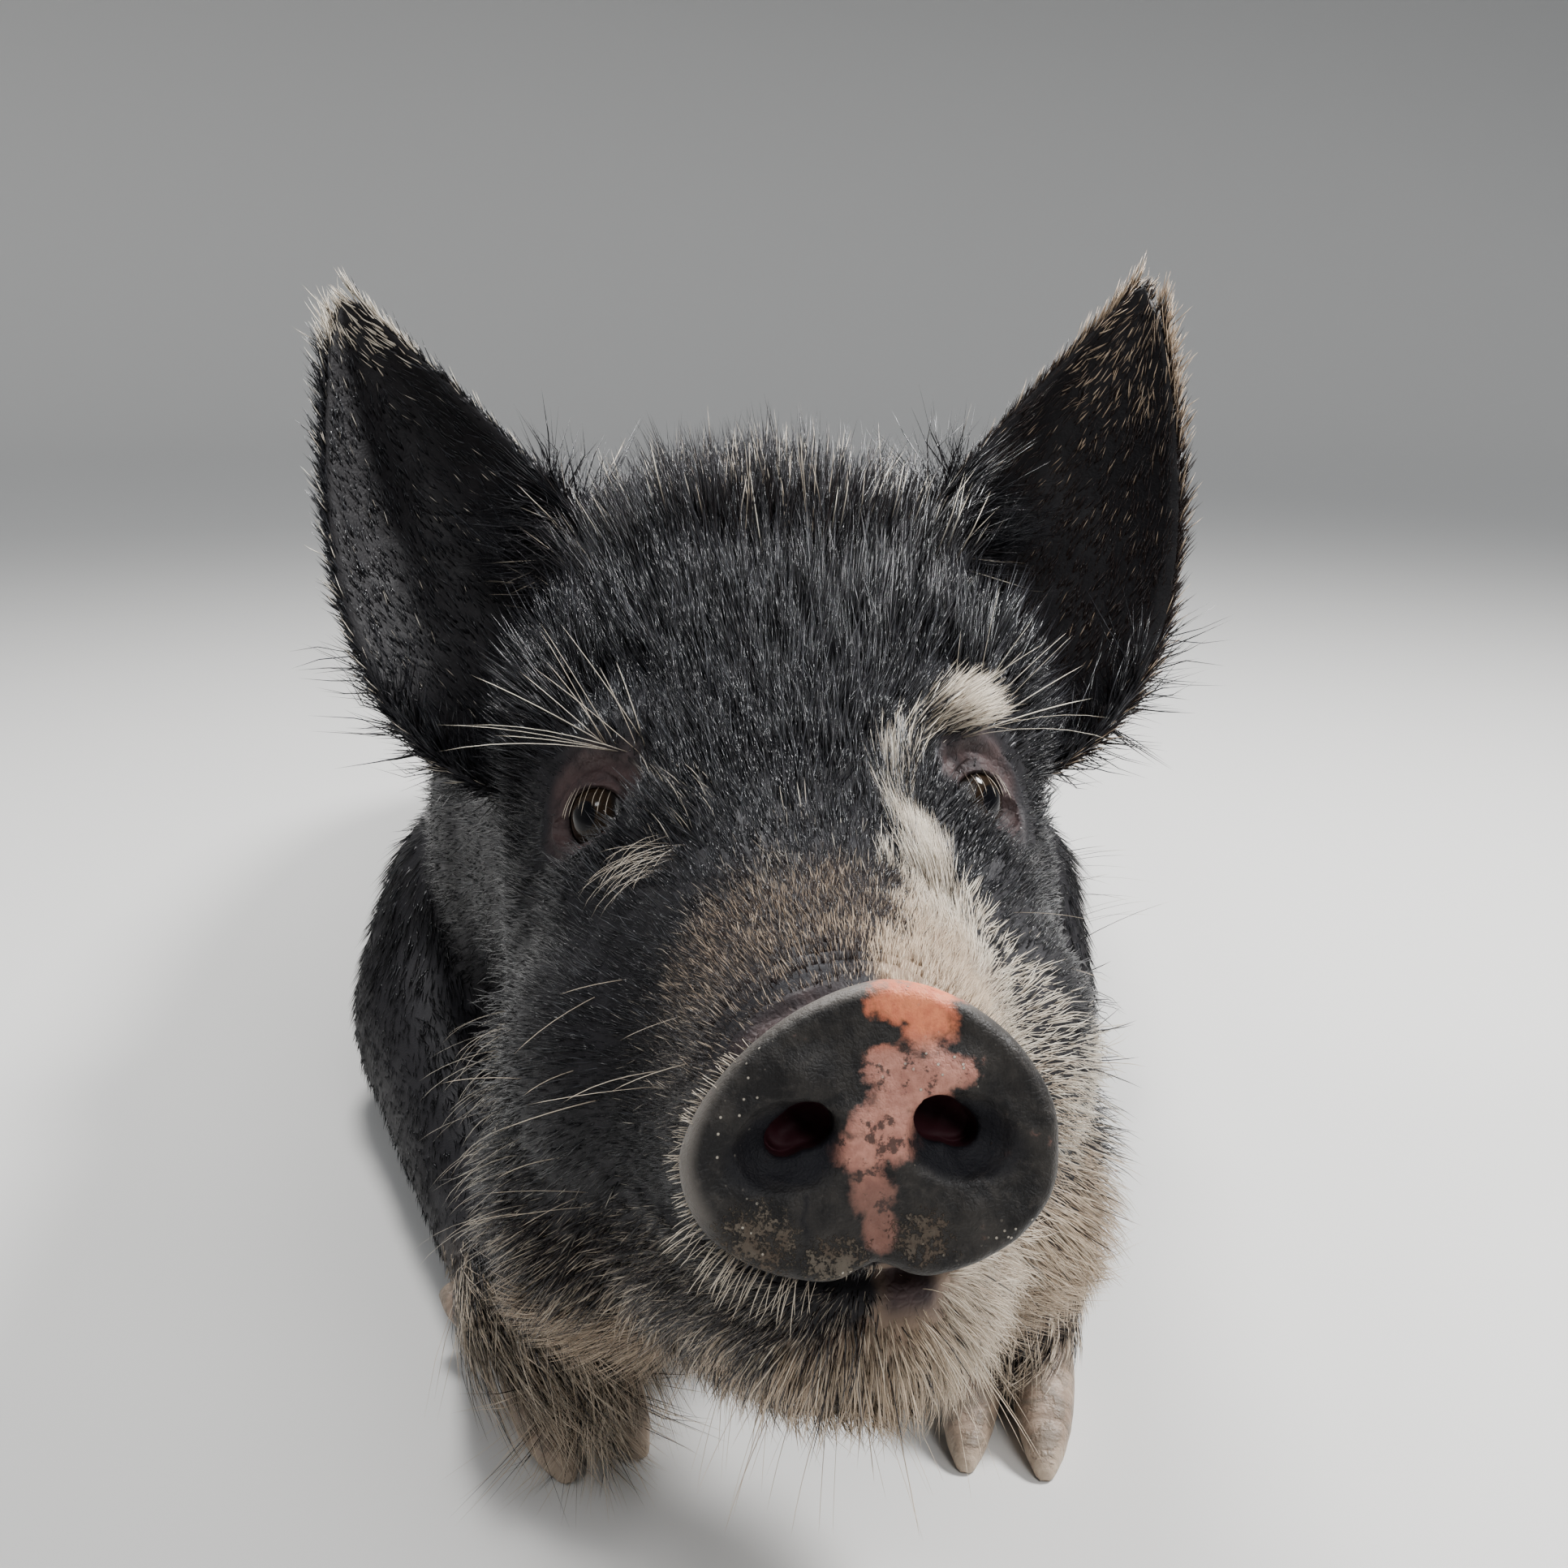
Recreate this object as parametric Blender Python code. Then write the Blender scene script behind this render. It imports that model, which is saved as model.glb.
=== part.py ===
"""A young domestic pig, black with white points, lying on its belly with its head up.

Life size, in metres, +Z up. The snout points to -Y, the pig's left side is +X, and the
origin is on the floor under the middle of the whole animal.
"""

import math
import random
from collections import namedtuple

import bmesh
import bpy
import numpy as np
from mathutils import Matrix, Vector
from mathutils.bvhtree import BVHTree

# Driving sizes
GAP = 0.0003
FLESH_VOXEL = 0.0052
FLESH_TRIANGLES = 4000

# The depth of the coat that the solids' surface takes in, on the body and on the head
COAT_BODY = 0.006
COAT_HEAD = 0.0065
COAT_LEG = 0.003

# The head is modelled level and facing -Y about the point between the eyes, then set here
HEAD_AT = Vector((0.031, -0.372, 0.262))
HEAD_RAISED = math.radians(20.0)
HEAD_TURNED = math.radians(4.6)
HEAD_ROLLED = math.radians(-1.0)
HEAD_PLACE = (
    Matrix.Translation(HEAD_AT)
    @ Matrix.Rotation(HEAD_TURNED, 4, "Z")
    @ Matrix.Rotation(-HEAD_RAISED, 4, "X")
    @ Matrix.Rotation(HEAD_ROLLED, 4, "Y")
)

# A cross-section of the body: where it is along Y, its middle in X, its top and bottom,
# its half width, the height where it is widest, and how square its top and bottom are
Section = namedtuple("Section", "y x top bottom half widest round_top round_bottom")

TRUNK = (
    Section(-0.300, 0.026, 0.322, 0.130, 0.076, 0.215, 2.0, 2.0),
    Section(-0.250, 0.022, 0.338, 0.078, 0.098, 0.190, 2.0, 2.0),
    Section(-0.180, 0.014, 0.330, 0.040, 0.120, 0.170, 2.0, 2.1),
    Section(-0.100, 0.005, 0.318, 0.008, 0.140, 0.155, 2.0, 2.2),
    Section(-0.010, 0.000, 0.312, -0.008, 0.160, 0.145, 2.1, 2.4),
    Section(0.090, 0.000, 0.316, -0.012, 0.176, 0.140, 2.1, 2.5),
    Section(0.190, 0.000, 0.322, -0.012, 0.186, 0.138, 2.1, 2.5),
    Section(0.290, 0.000, 0.322, -0.012, 0.186, 0.140, 2.1, 2.5),
    Section(0.380, 0.000, 0.312, -0.008, 0.176, 0.145, 2.1, 2.3),
    Section(0.455, 0.000, 0.288, 0.004, 0.146, 0.150, 2.1, 2.1),
    Section(0.505, 0.000, 0.256, 0.030, 0.108, 0.150, 2.0, 2.0),
    Section(0.540, 0.000, 0.216, 0.070, 0.062, 0.150, 2.0, 2.0),
)
TRUNK_RINGS = 40

# The same for the head, in its own level frame with the eyes at Y = 0 and Z = 0
HEAD = (
    Section(-0.160, 0.0, -0.0520, -0.1080, 0.0355, -0.085, 2.0, 2.3),
    Section(-0.150, 0.0, -0.0490, -0.1110, 0.0362, -0.086, 2.0, 2.3),
    Section(-0.130, 0.0, -0.0410, -0.1150, 0.0390, -0.087, 2.1, 2.2),
    Section(-0.100, 0.0, -0.0310, -0.1240, 0.0450, -0.086, 2.1, 2.2),
    Section(-0.070, 0.0, -0.0170, -0.1360, 0.0555, -0.086, 2.1, 2.2),
    Section(-0.040, 0.0, 0.0040, -0.1500, 0.0680, -0.084, 2.2, 2.2),
    Section(-0.010, 0.0, 0.0370, -0.1610, 0.0805, -0.080, 2.3, 2.2),
    Section(0.020, 0.0, 0.0730, -0.1660, 0.0900, -0.075, 2.5, 2.2),
    Section(0.048, 0.0, 0.1000, -0.1620, 0.0935, -0.068, 2.7, 2.2),
    Section(0.072, 0.0, 0.1110, -0.1500, 0.0900, -0.058, 2.8, 2.1),
    Section(0.096, 0.0, 0.1060, -0.1280, 0.0820, -0.040, 2.6, 2.0),
    Section(0.118, 0.0, 0.0850, -0.0980, 0.0680, -0.020, 2.4, 2.0),
)
HEAD_RINGS = 44

# Rounded masses under the skin: middle, radii and turn about Z in degrees. Those of the
# head are in its own frame, and all of these are on the pig's left and copied to its right
HEAD_MASSES = (
    ("cheek", (0.046, -0.010, -0.078), (0.044, 0.060, 0.050), 0),
    ("jowl", (0.048, 0.018, -0.115), (0.048, 0.062, 0.052), 0),
    ("brow", (0.043, 0.004, 0.020), (0.024, 0.022, 0.015), -25),
    ("temple", (0.064, 0.045, 0.020), (0.028, 0.040, 0.046), 0),
    ("under_eye", (0.052, -0.012, -0.030), (0.024, 0.026, 0.016), -20),
)
BODY_MASSES = (
    ("shoulder", (0.084, -0.015, 0.150), (0.078, 0.130, 0.135), 0),
    ("haunch", (0.100, 0.345, 0.128), (0.098, 0.150, 0.128), 8),
)

# The lower jaw, in the head's frame
JAW = (
    Section(-0.1500, 0.0, -0.1150, -0.1320, 0.0130, -0.1220, 2.3, 2.2),
    Section(-0.1430, 0.0, -0.1120, -0.1375, 0.0200, -0.1220, 2.3, 2.2),
    Section(-0.1250, 0.0, -0.1080, -0.1440, 0.0290, -0.1220, 2.2, 2.2),
    Section(-0.0950, 0.0, -0.1000, -0.1500, 0.0400, -0.1200, 2.1, 2.2),
    Section(-0.0600, 0.0, -0.0900, -0.1560, 0.0530, -0.1180, 2.0, 2.1),
    Section(-0.0200, 0.0, -0.0800, -0.1610, 0.0660, -0.1150, 2.0, 2.0),
)

# Tubes of flesh: each point is a place and a radius
FORELEG_LEFT = (
    ((0.142, 0.010, 0.100), 0.058),
    ((0.152, -0.045, 0.050), 0.050),
    ((0.145, -0.110, 0.037), 0.0385),
    ((0.131, -0.185, 0.0315), 0.0335),
    ((0.127, -0.235, 0.027), 0.0270),
    ((0.123, -0.283, 0.030), 0.0285),
    ((0.119, -0.310, 0.028), 0.0260),
)
FORELEG_RIGHT = (
    ((-0.140, 0.010, 0.100), 0.058),
    ((-0.157, -0.045, 0.050), 0.050),
    ((-0.139, -0.115, 0.037), 0.0385),
    ((-0.113, -0.185, 0.0315), 0.0335),
    ((-0.095, -0.238, 0.027), 0.0270),
    ((-0.073, -0.287, 0.030), 0.0285),
    ((-0.060, -0.312, 0.028), 0.0260),
)
THIGH_LEFT = (
    ((0.092, 0.385, 0.140), 0.108),
    ((0.120, 0.300, 0.104), 0.092),
    ((0.144, 0.235, 0.070), 0.068),
    ((0.150, 0.205, 0.055), 0.054),
)
HINDLEG_LEFT = (
    ((0.162, 0.435, 0.055), 0.044),
    ((0.172, 0.430, 0.036), 0.038),
    ((0.184, 0.385, 0.0285), 0.030),
    ((0.193, 0.330, 0.0255), 0.0265),
    ((0.199, 0.285, 0.029), 0.0275),
    ((0.202, 0.258, 0.028), 0.0255),
)
TUBE_SIDES = 20

# Sculpting strokes on the fused flesh, in the head's frame on its left, copied to its right:
# where, how far they reach, and how the skin moves
STROKES = (
    ("eye_socket", (0.060, -0.010, 0.000), 0.020, (-0.0050, 0.0045, 0.0)),
    ("tear_groove", (0.040, -0.042, -0.016), 0.022, (-0.0030, 0.0015, -0.0020)),
    ("muzzle_waist", (0.046, -0.090, -0.070), 0.026, (-0.0020, 0.0, 0.0)),
    ("lip_corner", (0.055, -0.066, -0.106), 0.014, (-0.0025, 0.0, 0.0)),
    ("behind_jowl", (0.088, 0.078, -0.060), 0.030, (-0.0060, 0.0, 0.0)),
)

# Snout disc, in the head's frame
DISC_FRONT = -0.1765
DISC_BACK = -0.1603
DISC_MIDDLE = -0.0835
DISC_HALF_WIDTH = 0.0392
DISC_UP = 0.0345
DISC_DOWN = 0.0265
DISC_ROUND_TOP = 1.7
DISC_ROUND_BOTTOM = 2.3
DISC_LEAN = 0.14
DISC_CROWN = 0.0035
DISC_RIM = 0.0035
DISC_NOTCH = 0.0042
NOSTRIL_OUT = 0.0172
NOSTRIL_SHIFT = 0.0030
NOSTRIL_UP = 0.0050
NOSTRIL_HALF_WIDTH = 0.0096
NOSTRIL_HALF_HEIGHT = 0.0098
NOSTRIL_DEPTH = 0.0135

# Mouth slit, in the head's frame: a line from the front of the lips to the corner
MOUTH_LINE = ((-0.176, -0.1135), (-0.150, -0.1140), (-0.120, -0.1120), (-0.095, -0.1070), (-0.078, -0.1000))
MOUTH_OPEN = 0.0018

# Eyes, in the head's frame
EYE_MIDDLE = Vector((0.0550, -0.0010, -0.0037))
EYE_RADIUS = 0.0122
EYE_AXIS = Vector((0.68, -0.73, 0.06))
LID_THICK = 0.0028
LID_HALF_WIDTH = 0.0162
LID_HALF_HEIGHT = 0.0080

# Ears, in the head's frame on the left: edges as four-point curves from root to tip
EAR_INNER = ((0.052, 0.070, 0.094), (0.086, 0.068, 0.142), (0.120, 0.062, 0.166), (0.148, 0.056, 0.196))
EAR_OUTER = ((0.078, 0.052, 0.004), (0.158, 0.042, 0.016), (0.158, 0.052, 0.120), (0.148, 0.056, 0.196))
EAR_CUP = 0.034
EAR_THICK = 0.0038
EAR_STEPS = 12
EAR_ACROSS = 9
EAR_LOCKS = 9

# Claws: how far the tip is ahead of the pastern, and the size of one
CLAW_LENGTH = 0.048
CLAW_WIDTH = 0.0240
CLAW_HEIGHT = 0.0370
CLAW_SPREAD = 0.0128
CLAW_TOE_OUT = math.radians(5.0)
DEWCLAW_LENGTH = 0.020
DEWCLAW_RADIUS = 0.0065

TAIL = (
    ((0.000, 0.505, 0.236), 0.0135),
    ((0.000, 0.535, 0.240), 0.0115),
    ((0.004, 0.560, 0.226), 0.0095),
    ((0.012, 0.570, 0.198), 0.0080),
    ((0.014, 0.566, 0.168), 0.0066),
    ((0.006, 0.560, 0.142), 0.0056),
    ((-0.004, 0.560, 0.118), 0.0046),
)

# Where the whole is cut into its named parts
NECK_FRONT = (Vector((0.0, 0.102, 0.0)), Vector((0.0, 1.0, -0.24)))
NECK_BACK_Y = -0.075
SLEEVE_MARGIN = 0.009
SLEEVE_GAP = 0.00038

BLACK_COAT = ((0.016, 0.015, 0.017), 0.62)
TAIL_COAT = ((0.030, 0.028, 0.030), 0.65)
EAR_SKIN = ((0.030, 0.024, 0.024), 0.65)
SNOUT_SKIN = ((0.085, 0.070, 0.068), 0.48)
EYE_DARK = ((0.030, 0.017, 0.010), 0.08)
CLAW_HORN = ((0.42, 0.33, 0.25), 0.45)

# Locks of bristles: length, width and thickness at the root of the middle one of each kind
LOCK_SINK = 0.006
POLL_LOCK = (0.040, 0.017, 0.0050)
NECK_LOCK = (0.046, 0.018, 0.0050)
BACK_LOCK = (0.034, 0.018, 0.0050)
JOWL_LOCK = (0.030, 0.014, 0.0040)
CHIN_LOCK = (0.016, 0.013, 0.0036)
EAR_LOCK = (0.015, 0.019, 0.0026)
FOOT_LOCK = (0.030, 0.013, 0.0040)
TAIL_LOCK = (0.050, 0.008, 0.0040)


def clear_scene():
    for old in list(bpy.data.objects):
        bpy.data.objects.remove(old)


def finish(name, colour, roughness):
    material = bpy.data.materials.new(name)
    material.use_nodes = True
    shader = material.node_tree.nodes["Principled BSDF"]
    shader.inputs["Base Color"].default_value = (*colour, 1.0)
    shader.inputs["Roughness"].default_value = roughness
    shader.inputs["Metallic"].default_value = 0.0
    return material


def object_from(bm, name, material=None):
    """A mesh object made from a bmesh, which is freed."""
    bmesh.ops.recalc_face_normals(bm, faces=bm.faces)
    mesh = bpy.data.meshes.new(name)
    bm.to_mesh(mesh)
    bm.free()
    made = bpy.data.objects.new(name, mesh)
    bpy.context.scene.collection.objects.link(made)
    if material is not None:
        mesh.materials.append(material)
    return made


def bake_modifiers(piece):
    """Replaces the object's mesh by what its modifiers make of it."""
    graph = bpy.context.evaluated_depsgraph_get()
    mesh = bpy.data.meshes.new_from_object(piece.evaluated_get(graph))
    piece.modifiers.clear()
    piece.data = mesh


def smooth_stations(stations, steps):
    """Catmull-Rom values between rows of numbers, with both ends kept."""
    rows = np.array(stations, float)
    rows = np.vstack([2 * rows[0] - rows[1], rows, 2 * rows[-1] - rows[-2]])
    out = []
    for k in range(len(rows) - 3):
        before, start, end, after = rows[k : k + 4]
        for t in np.arange(steps) / steps:
            out.append(
                0.5
                * (
                    2 * start
                    + (end - before) * t
                    + (2 * before - 5 * start + 4 * end - after) * t**2
                    + (3 * start - before - 3 * end + after) * t**3
                )
            )
    out.append(rows[-2])
    return np.array(out)


def signed_power(value, power):
    return math.copysign(abs(value) ** power, value)


def egg_ring(half, up, down, round_top, round_bottom, count):
    """A closed outline in X and Z, wider or squarer above than below if told so."""
    points = []
    for k in range(count):
        turn = 2 * math.pi * k / count
        power = 2 / (round_top if math.sin(turn) > 0 else round_bottom)
        height = up if math.sin(turn) > 0 else down
        points.append((half * signed_power(math.cos(turn), power), height * signed_power(math.sin(turn), power)))
    return points


def skin_rings(bm, rings):
    """Bridges closed rings of points and closes both ends with fans."""
    loops = [[bm.verts.new(point) for point in ring] for ring in rings]
    count = len(loops[0])
    for one, two in zip(loops, loops[1:]):
        for k in range(count):
            bm.faces.new((one[k], one[(k + 1) % count], two[(k + 1) % count], two[k]))
    for loop, ring in ((loops[0], rings[0]), (loops[-1], rings[-1])):
        pole = bm.verts.new(sum((Vector(point) for point in ring), Vector()) / count)
        for k in range(count):
            bm.faces.new((loop[k], loop[(k + 1) % count], pole))


def loft(bm, sections, count, place=None):
    """A closed body through smoothed cross-sections."""
    place = place or Matrix.Identity(4)
    rings = []
    for row in smooth_stations(sections, 3):
        cut = Section(*row)
        outline = egg_ring(
            cut.half, cut.top - cut.widest, cut.widest - cut.bottom, cut.round_top, cut.round_bottom, count
        )
        rings.append([place @ Vector((cut.x + x, cut.y, cut.widest + z)) for x, z in outline])
    skin_rings(bm, rings)


def tube(bm, route, sides=TUBE_SIDES, place=None, steps=4):
    """A closed round tube of changing radius with rounded ends."""
    place = place or Matrix.Identity(4)
    rows = smooth_stations([(*point, radius) for point, radius in route], steps)
    centres = [place @ Vector(row[:3]) for row in rows]
    radii = [row[3] for row in rows]
    ahead = [(b - a).normalized() for a, b in zip(centres, centres[1:])]
    ahead.append(ahead[-1])
    rounding = (0.94, 0.70, 0.30)
    stations = [
        (centres[0] - ahead[0] * radii[0] * r, ahead[0], radii[0] * math.sqrt(1 - r * r)) for r in rounding
    ]
    stations += list(zip(centres, ahead, radii))
    stations += [
        (centres[-1] + ahead[-1] * radii[-1] * r, ahead[-1], radii[-1] * math.sqrt(1 - r * r))
        for r in reversed(rounding)
    ]
    side = ahead[0].orthogonal().normalized()
    rings = []
    for centre, along, radius in stations:
        side = (side - along * side.dot(along)).normalized()
        other = along.cross(side)
        rings.append(
            [
                centre + (side * math.cos(turn) + other * math.sin(turn)) * radius
                for turn in (2 * math.pi * k / sides for k in range(sides))
            ]
        )
    skin_rings(bm, rings)


def ellipsoid(bm, middle, radii, turn_degrees=0.0, place=None, mirrored=False):
    """A rounded mass, on the right side if mirrored."""
    place = place or Matrix.Identity(4)
    sign = -1.0 if mirrored else 1.0
    at = Matrix.Translation((middle[0] * sign, middle[1], middle[2]))
    turn = Matrix.Rotation(math.radians(turn_degrees) * sign, 4, "Z")
    bmesh.ops.create_uvsphere(
        bm,
        u_segments=24,
        v_segments=14,
        radius=1.0,
        matrix=place @ at @ turn @ Matrix.Diagonal((*radii, 1.0)),
    )


def mirrored_route(route):
    return tuple(((-point[0], point[1], point[2]), radius) for point, radius in route)


def sculpt(piece):
    """Moves the skin by each stroke on both sides of the head."""
    mesh = piece.data
    points = np.zeros(len(mesh.vertices) * 3)
    mesh.vertices.foreach_get("co", points)
    points = points.reshape(-1, 3)
    for _, where, reach, move in STROKES:
        for sign in (1.0, -1.0):
            middle = HEAD_PLACE @ Vector((where[0] * sign, where[1], where[2]))
            step = HEAD_PLACE.to_3x3() @ Vector((move[0] * sign, move[1], move[2]))
            distance = np.linalg.norm(points - np.array(middle), axis=1) / reach
            weight = np.clip(1 - distance**2, 0, 1) ** 2
            points += weight[:, None] * np.array(step)
    mesh.vertices.foreach_set("co", points.ravel())
    mesh.update()


def smooth_body(flesh):
    """Smooths all that lies behind the head much more, where no small forms are wanted."""
    group = flesh.vertex_groups.new(name="body")
    for vertex in flesh.data.vertices:
        behind = (vertex.co.y - HEAD_AT.y - 0.06) / 0.08
        aloft = (vertex.co.z - 0.06) / 0.05
        group.add([vertex.index], min(max(min(behind, aloft), 0.0), 1.0), "REPLACE")
    soften = flesh.modifiers.new("soften_body", "SMOOTH")
    soften.factor = 0.5
    soften.iterations = 40
    soften.vertex_group = group.name
    bake_modifiers(flesh)
    flesh.vertex_groups.clear()


def make_flesh():
    """Trunk, head and legs fused into one smooth closed body, flat where it lies on the floor."""
    bm = bmesh.new()
    loft(bm, TRUNK, TRUNK_RINGS)
    loft(bm, HEAD, HEAD_RINGS, HEAD_PLACE)
    loft(bm, JAW, HEAD_RINGS, HEAD_PLACE)
    for _, middle, radii, turn in HEAD_MASSES:
        for mirrored in (False, True):
            ellipsoid(bm, middle, radii, turn, HEAD_PLACE, mirrored)
    for _, middle, radii, turn in BODY_MASSES:
        for mirrored in (False, True):
            ellipsoid(bm, middle, radii, turn, None, mirrored)
    for route in (FORELEG_LEFT, FORELEG_RIGHT, THIGH_LEFT, HINDLEG_LEFT):
        tube(bm, route)
    for route in (THIGH_LEFT, HINDLEG_LEFT):
        tube(bm, mirrored_route(route))
    flesh = object_from(bm, "flesh")
    fuse(flesh)
    soften = flesh.modifiers.new("soften", "SMOOTH")
    soften.factor = 0.5
    soften.iterations = 9
    bake_modifiers(flesh)
    smooth_body(flesh)
    sculpt(flesh)
    add_coat(flesh)
    thin = flesh.modifiers.new("thin", "DECIMATE")
    thin.ratio = FLESH_TRIANGLES / sum(len(face.vertices) - 2 for face in flesh.data.polygons)
    thin.use_collapse_triangulate = True
    bake_modifiers(flesh)
    floor = box_cutter("floor", (-1.0, -1.5, -1.0), (1.0, 1.5, 0.0))
    boolean(flesh, [floor], "DIFFERENCE")
    return flesh


def coat_depth(point, head_point):
    """How far the coat stands off the skin at a place, given also in the head's frame."""
    body = COAT_BODY - (COAT_BODY - COAT_LEG) * min(max((0.10 - point.z) / 0.06, 0.0), 1.0)
    off_muzzle = min(max((head_point.y + 0.150) / 0.060, 0.0), 1.0)
    off_eye = min(
        (head_point - Vector((side * EYE_MIDDLE.x, EYE_MIDDLE.y, EYE_MIDDLE.z))).length for side in (1.0, -1.0)
    )
    off_eye = min(max((off_eye - 0.018) / 0.020, 0.0), 1.0)
    head = COAT_HEAD * off_muzzle * off_eye
    share = min(max((head_point.y - 0.06) / 0.06, 0.0), 1.0)
    return head + (body - head) * share


def add_coat(flesh):
    """Moves the skin out by the coat's depth and fuses it anew, so that no fold crosses itself."""
    mesh = flesh.data
    into_head = HEAD_PLACE.inverted()
    normals = [vertex.normal.copy() for vertex in mesh.vertices]
    for vertex, normal in zip(mesh.vertices, normals):
        vertex.co += normal * coat_depth(vertex.co, into_head @ vertex.co)
    fuse(flesh)
    soften = flesh.modifiers.new("soften", "SMOOTH")
    soften.factor = 0.5
    soften.iterations = 3
    bake_modifiers(flesh)


def fuse(piece):
    """Makes one closed skin of all that a piece holds."""
    remesh = piece.modifiers.new("fuse", "REMESH")
    remesh.mode = "VOXEL"
    remesh.voxel_size = FLESH_VOXEL
    bake_modifiers(piece)


def box_cutter(name, low, high):
    bm = bmesh.new()
    bmesh.ops.create_cube(bm, size=1.0)
    low, high = Vector(low), Vector(high)
    for vertex in bm.verts:
        vertex.co = Vector(low[k] + (high[k] - low[k]) * (vertex.co[k] + 0.5) for k in range(3))
    return object_from(bm, name)


def boolean(piece, tools, operation):
    """Joins, cuts or crops a piece with a collection of closed tools, and applies it."""
    group = bpy.data.collections.new("tools")
    bpy.context.scene.collection.children.link(group)
    for tool in tools:
        group.objects.link(tool)
    change = piece.modifiers.new("change", "BOOLEAN")
    change.operation = operation
    change.solver = "EXACT"
    change.operand_type = "COLLECTION"
    change.collection = group
    bake_modifiers(piece)
    for tool in tools:
        bpy.data.objects.remove(tool)
    bpy.data.collections.remove(group)


def keep_largest(piece):
    """Drops every loose scrap, so that the piece is one closed surface."""
    bm = bmesh.new()
    bm.from_mesh(piece.data)
    bmesh.ops.remove_doubles(bm, verts=bm.verts, dist=1e-6)
    seen = set()
    shells = []
    for start in bm.verts:
        if start in seen:
            continue
        shell = []
        stack = [start]
        seen.add(start)
        while stack:
            vertex = stack.pop()
            shell.append(vertex)
            for edge in vertex.link_edges:
                other = edge.other_vert(vertex)
                if other not in seen:
                    seen.add(other)
                    stack.append(other)
        shells.append(shell)
    shells.sort(key=len)
    for shell in shells[:-1]:
        bmesh.ops.delete(bm, geom=shell, context="VERTS")
    bm.to_mesh(piece.data)
    bm.free()


def grown(piece, distance):
    """A copy of a closed piece with its skin moved out by a small distance."""
    copy = piece.copy()
    copy.data = piece.data.copy()
    bpy.context.scene.collection.objects.link(copy)
    mesh = copy.data
    normals = [vertex.normal.copy() for vertex in mesh.vertices]
    for vertex, normal in zip(mesh.vertices, normals):
        vertex.co += normal * distance
    mesh.update()
    return copy


def box_of(piece):
    corners = np.array([vertex.co for vertex in piece.data.vertices])
    return corners.min(axis=0), corners.max(axis=0)


def cut_clear(piece, neighbours):
    """Cuts a piece back from each neighbour that it may touch, and keeps one closed body."""
    for neighbour in neighbours:
        low, high = box_of(piece)
        other_low, other_high = box_of(neighbour)
        if (low < other_high + GAP).all() and (other_low < high + GAP).all():
            boolean(piece, [grown(neighbour, GAP)], "DIFFERENCE")
    keep_largest(piece)


def copied(piece, name):
    copy = piece.copy()
    copy.data = piece.data.copy()
    copy.name = name
    bpy.context.scene.collection.objects.link(copy)
    return copy


def half_space(name, point, normal):
    """A large block that fills all that lies on the side of a plane that its normal points to."""
    reach = 1.6
    block = box_cutter(name, (-reach, -reach, 0.0), (reach, reach, reach))
    turn = Vector((0.0, 0.0, 1.0)).rotation_difference(Vector(normal)).to_matrix().to_4x4()
    block.data.transform(Matrix.Translation(point) @ turn)
    return block


def leg_region(name, route):
    """A plain closed sleeve round a leg, which takes it off the trunk."""
    points = [Vector(point) for point, _ in route]
    rings = []
    for k, (_, radius) in enumerate(route):
        ahead = (points[min(k + 1, len(points) - 1)] - points[max(k - 1, 0)]).normalized()
        side = ahead.cross(Vector((0.0, 0.0, 1.0))).normalized()
        up = side.cross(ahead)
        middle = points[k]
        if k == len(points) - 1:
            middle = middle + ahead * (radius + SLEEVE_MARGIN)
        reach = (radius + SLEEVE_MARGIN) * 1.1
        corners = [math.radians(60 * step) for step in range(6)]
        rings.append([middle + (side * math.cos(turn) + up * math.sin(turn)) * reach for turn in corners])
    bm = bmesh.new()
    skin_rings(bm, rings)
    bmesh.ops.triangulate(bm, faces=bm.faces, quad_method="FIXED")
    return object_from(bm, name)


def flesh_nodes(flesh):
    """Cuts the fused flesh into head, neck, torso and four legs, face to face."""
    nodes = {}
    legs = {
        "foreleg_left": FORELEG_LEFT[1:],
        "foreleg_right": FORELEG_RIGHT[1:],
        "hindleg_left": HINDLEG_LEFT[1:],
        "hindleg_right": mirrored_route(HINDLEG_LEFT)[1:],
    }
    sleeves = []
    for name, route in legs.items():
        leg = copied(flesh, name)
        sleeve = leg_region(name + "_sleeve", route)
        sleeves.append(grown(sleeve, SLEEVE_GAP))
        boolean(leg, [sleeve], "INTERSECT")
        keep_largest(leg)
        nodes[name] = leg
    boolean(flesh, sleeves, "DIFFERENCE")
    keep_largest(flesh)
    point = HEAD_PLACE @ NECK_FRONT[0]
    normal = (HEAD_PLACE.to_3x3() @ NECK_FRONT[1]).normalized()
    back = Vector((0.0, NECK_BACK_Y, 0.0))
    behind_head = half_space("behind_head", point - normal * GAP / 2, normal)
    before_neck = half_space("before_neck", point + normal * GAP / 2, -normal)
    behind_neck = half_space("behind_neck", back - Vector((0, GAP / 2, 0)), (0, 1, 0))
    before_torso = half_space("before_torso", back + Vector((0, GAP / 2, 0)), (0, -1, 0))
    for name, tools in (
        ("head", [behind_head]),
        ("neck", [before_neck, behind_neck]),
        ("torso", [before_torso]),
    ):
        piece = copied(flesh, name)
        boolean(piece, tools, "DIFFERENCE")
        keep_largest(piece)
        nodes[name] = piece
    bpy.data.objects.remove(flesh)
    return nodes


def to_head(x, y, z, side=1.0):
    return HEAD_PLACE @ Vector((x * side, y, z))


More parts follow.
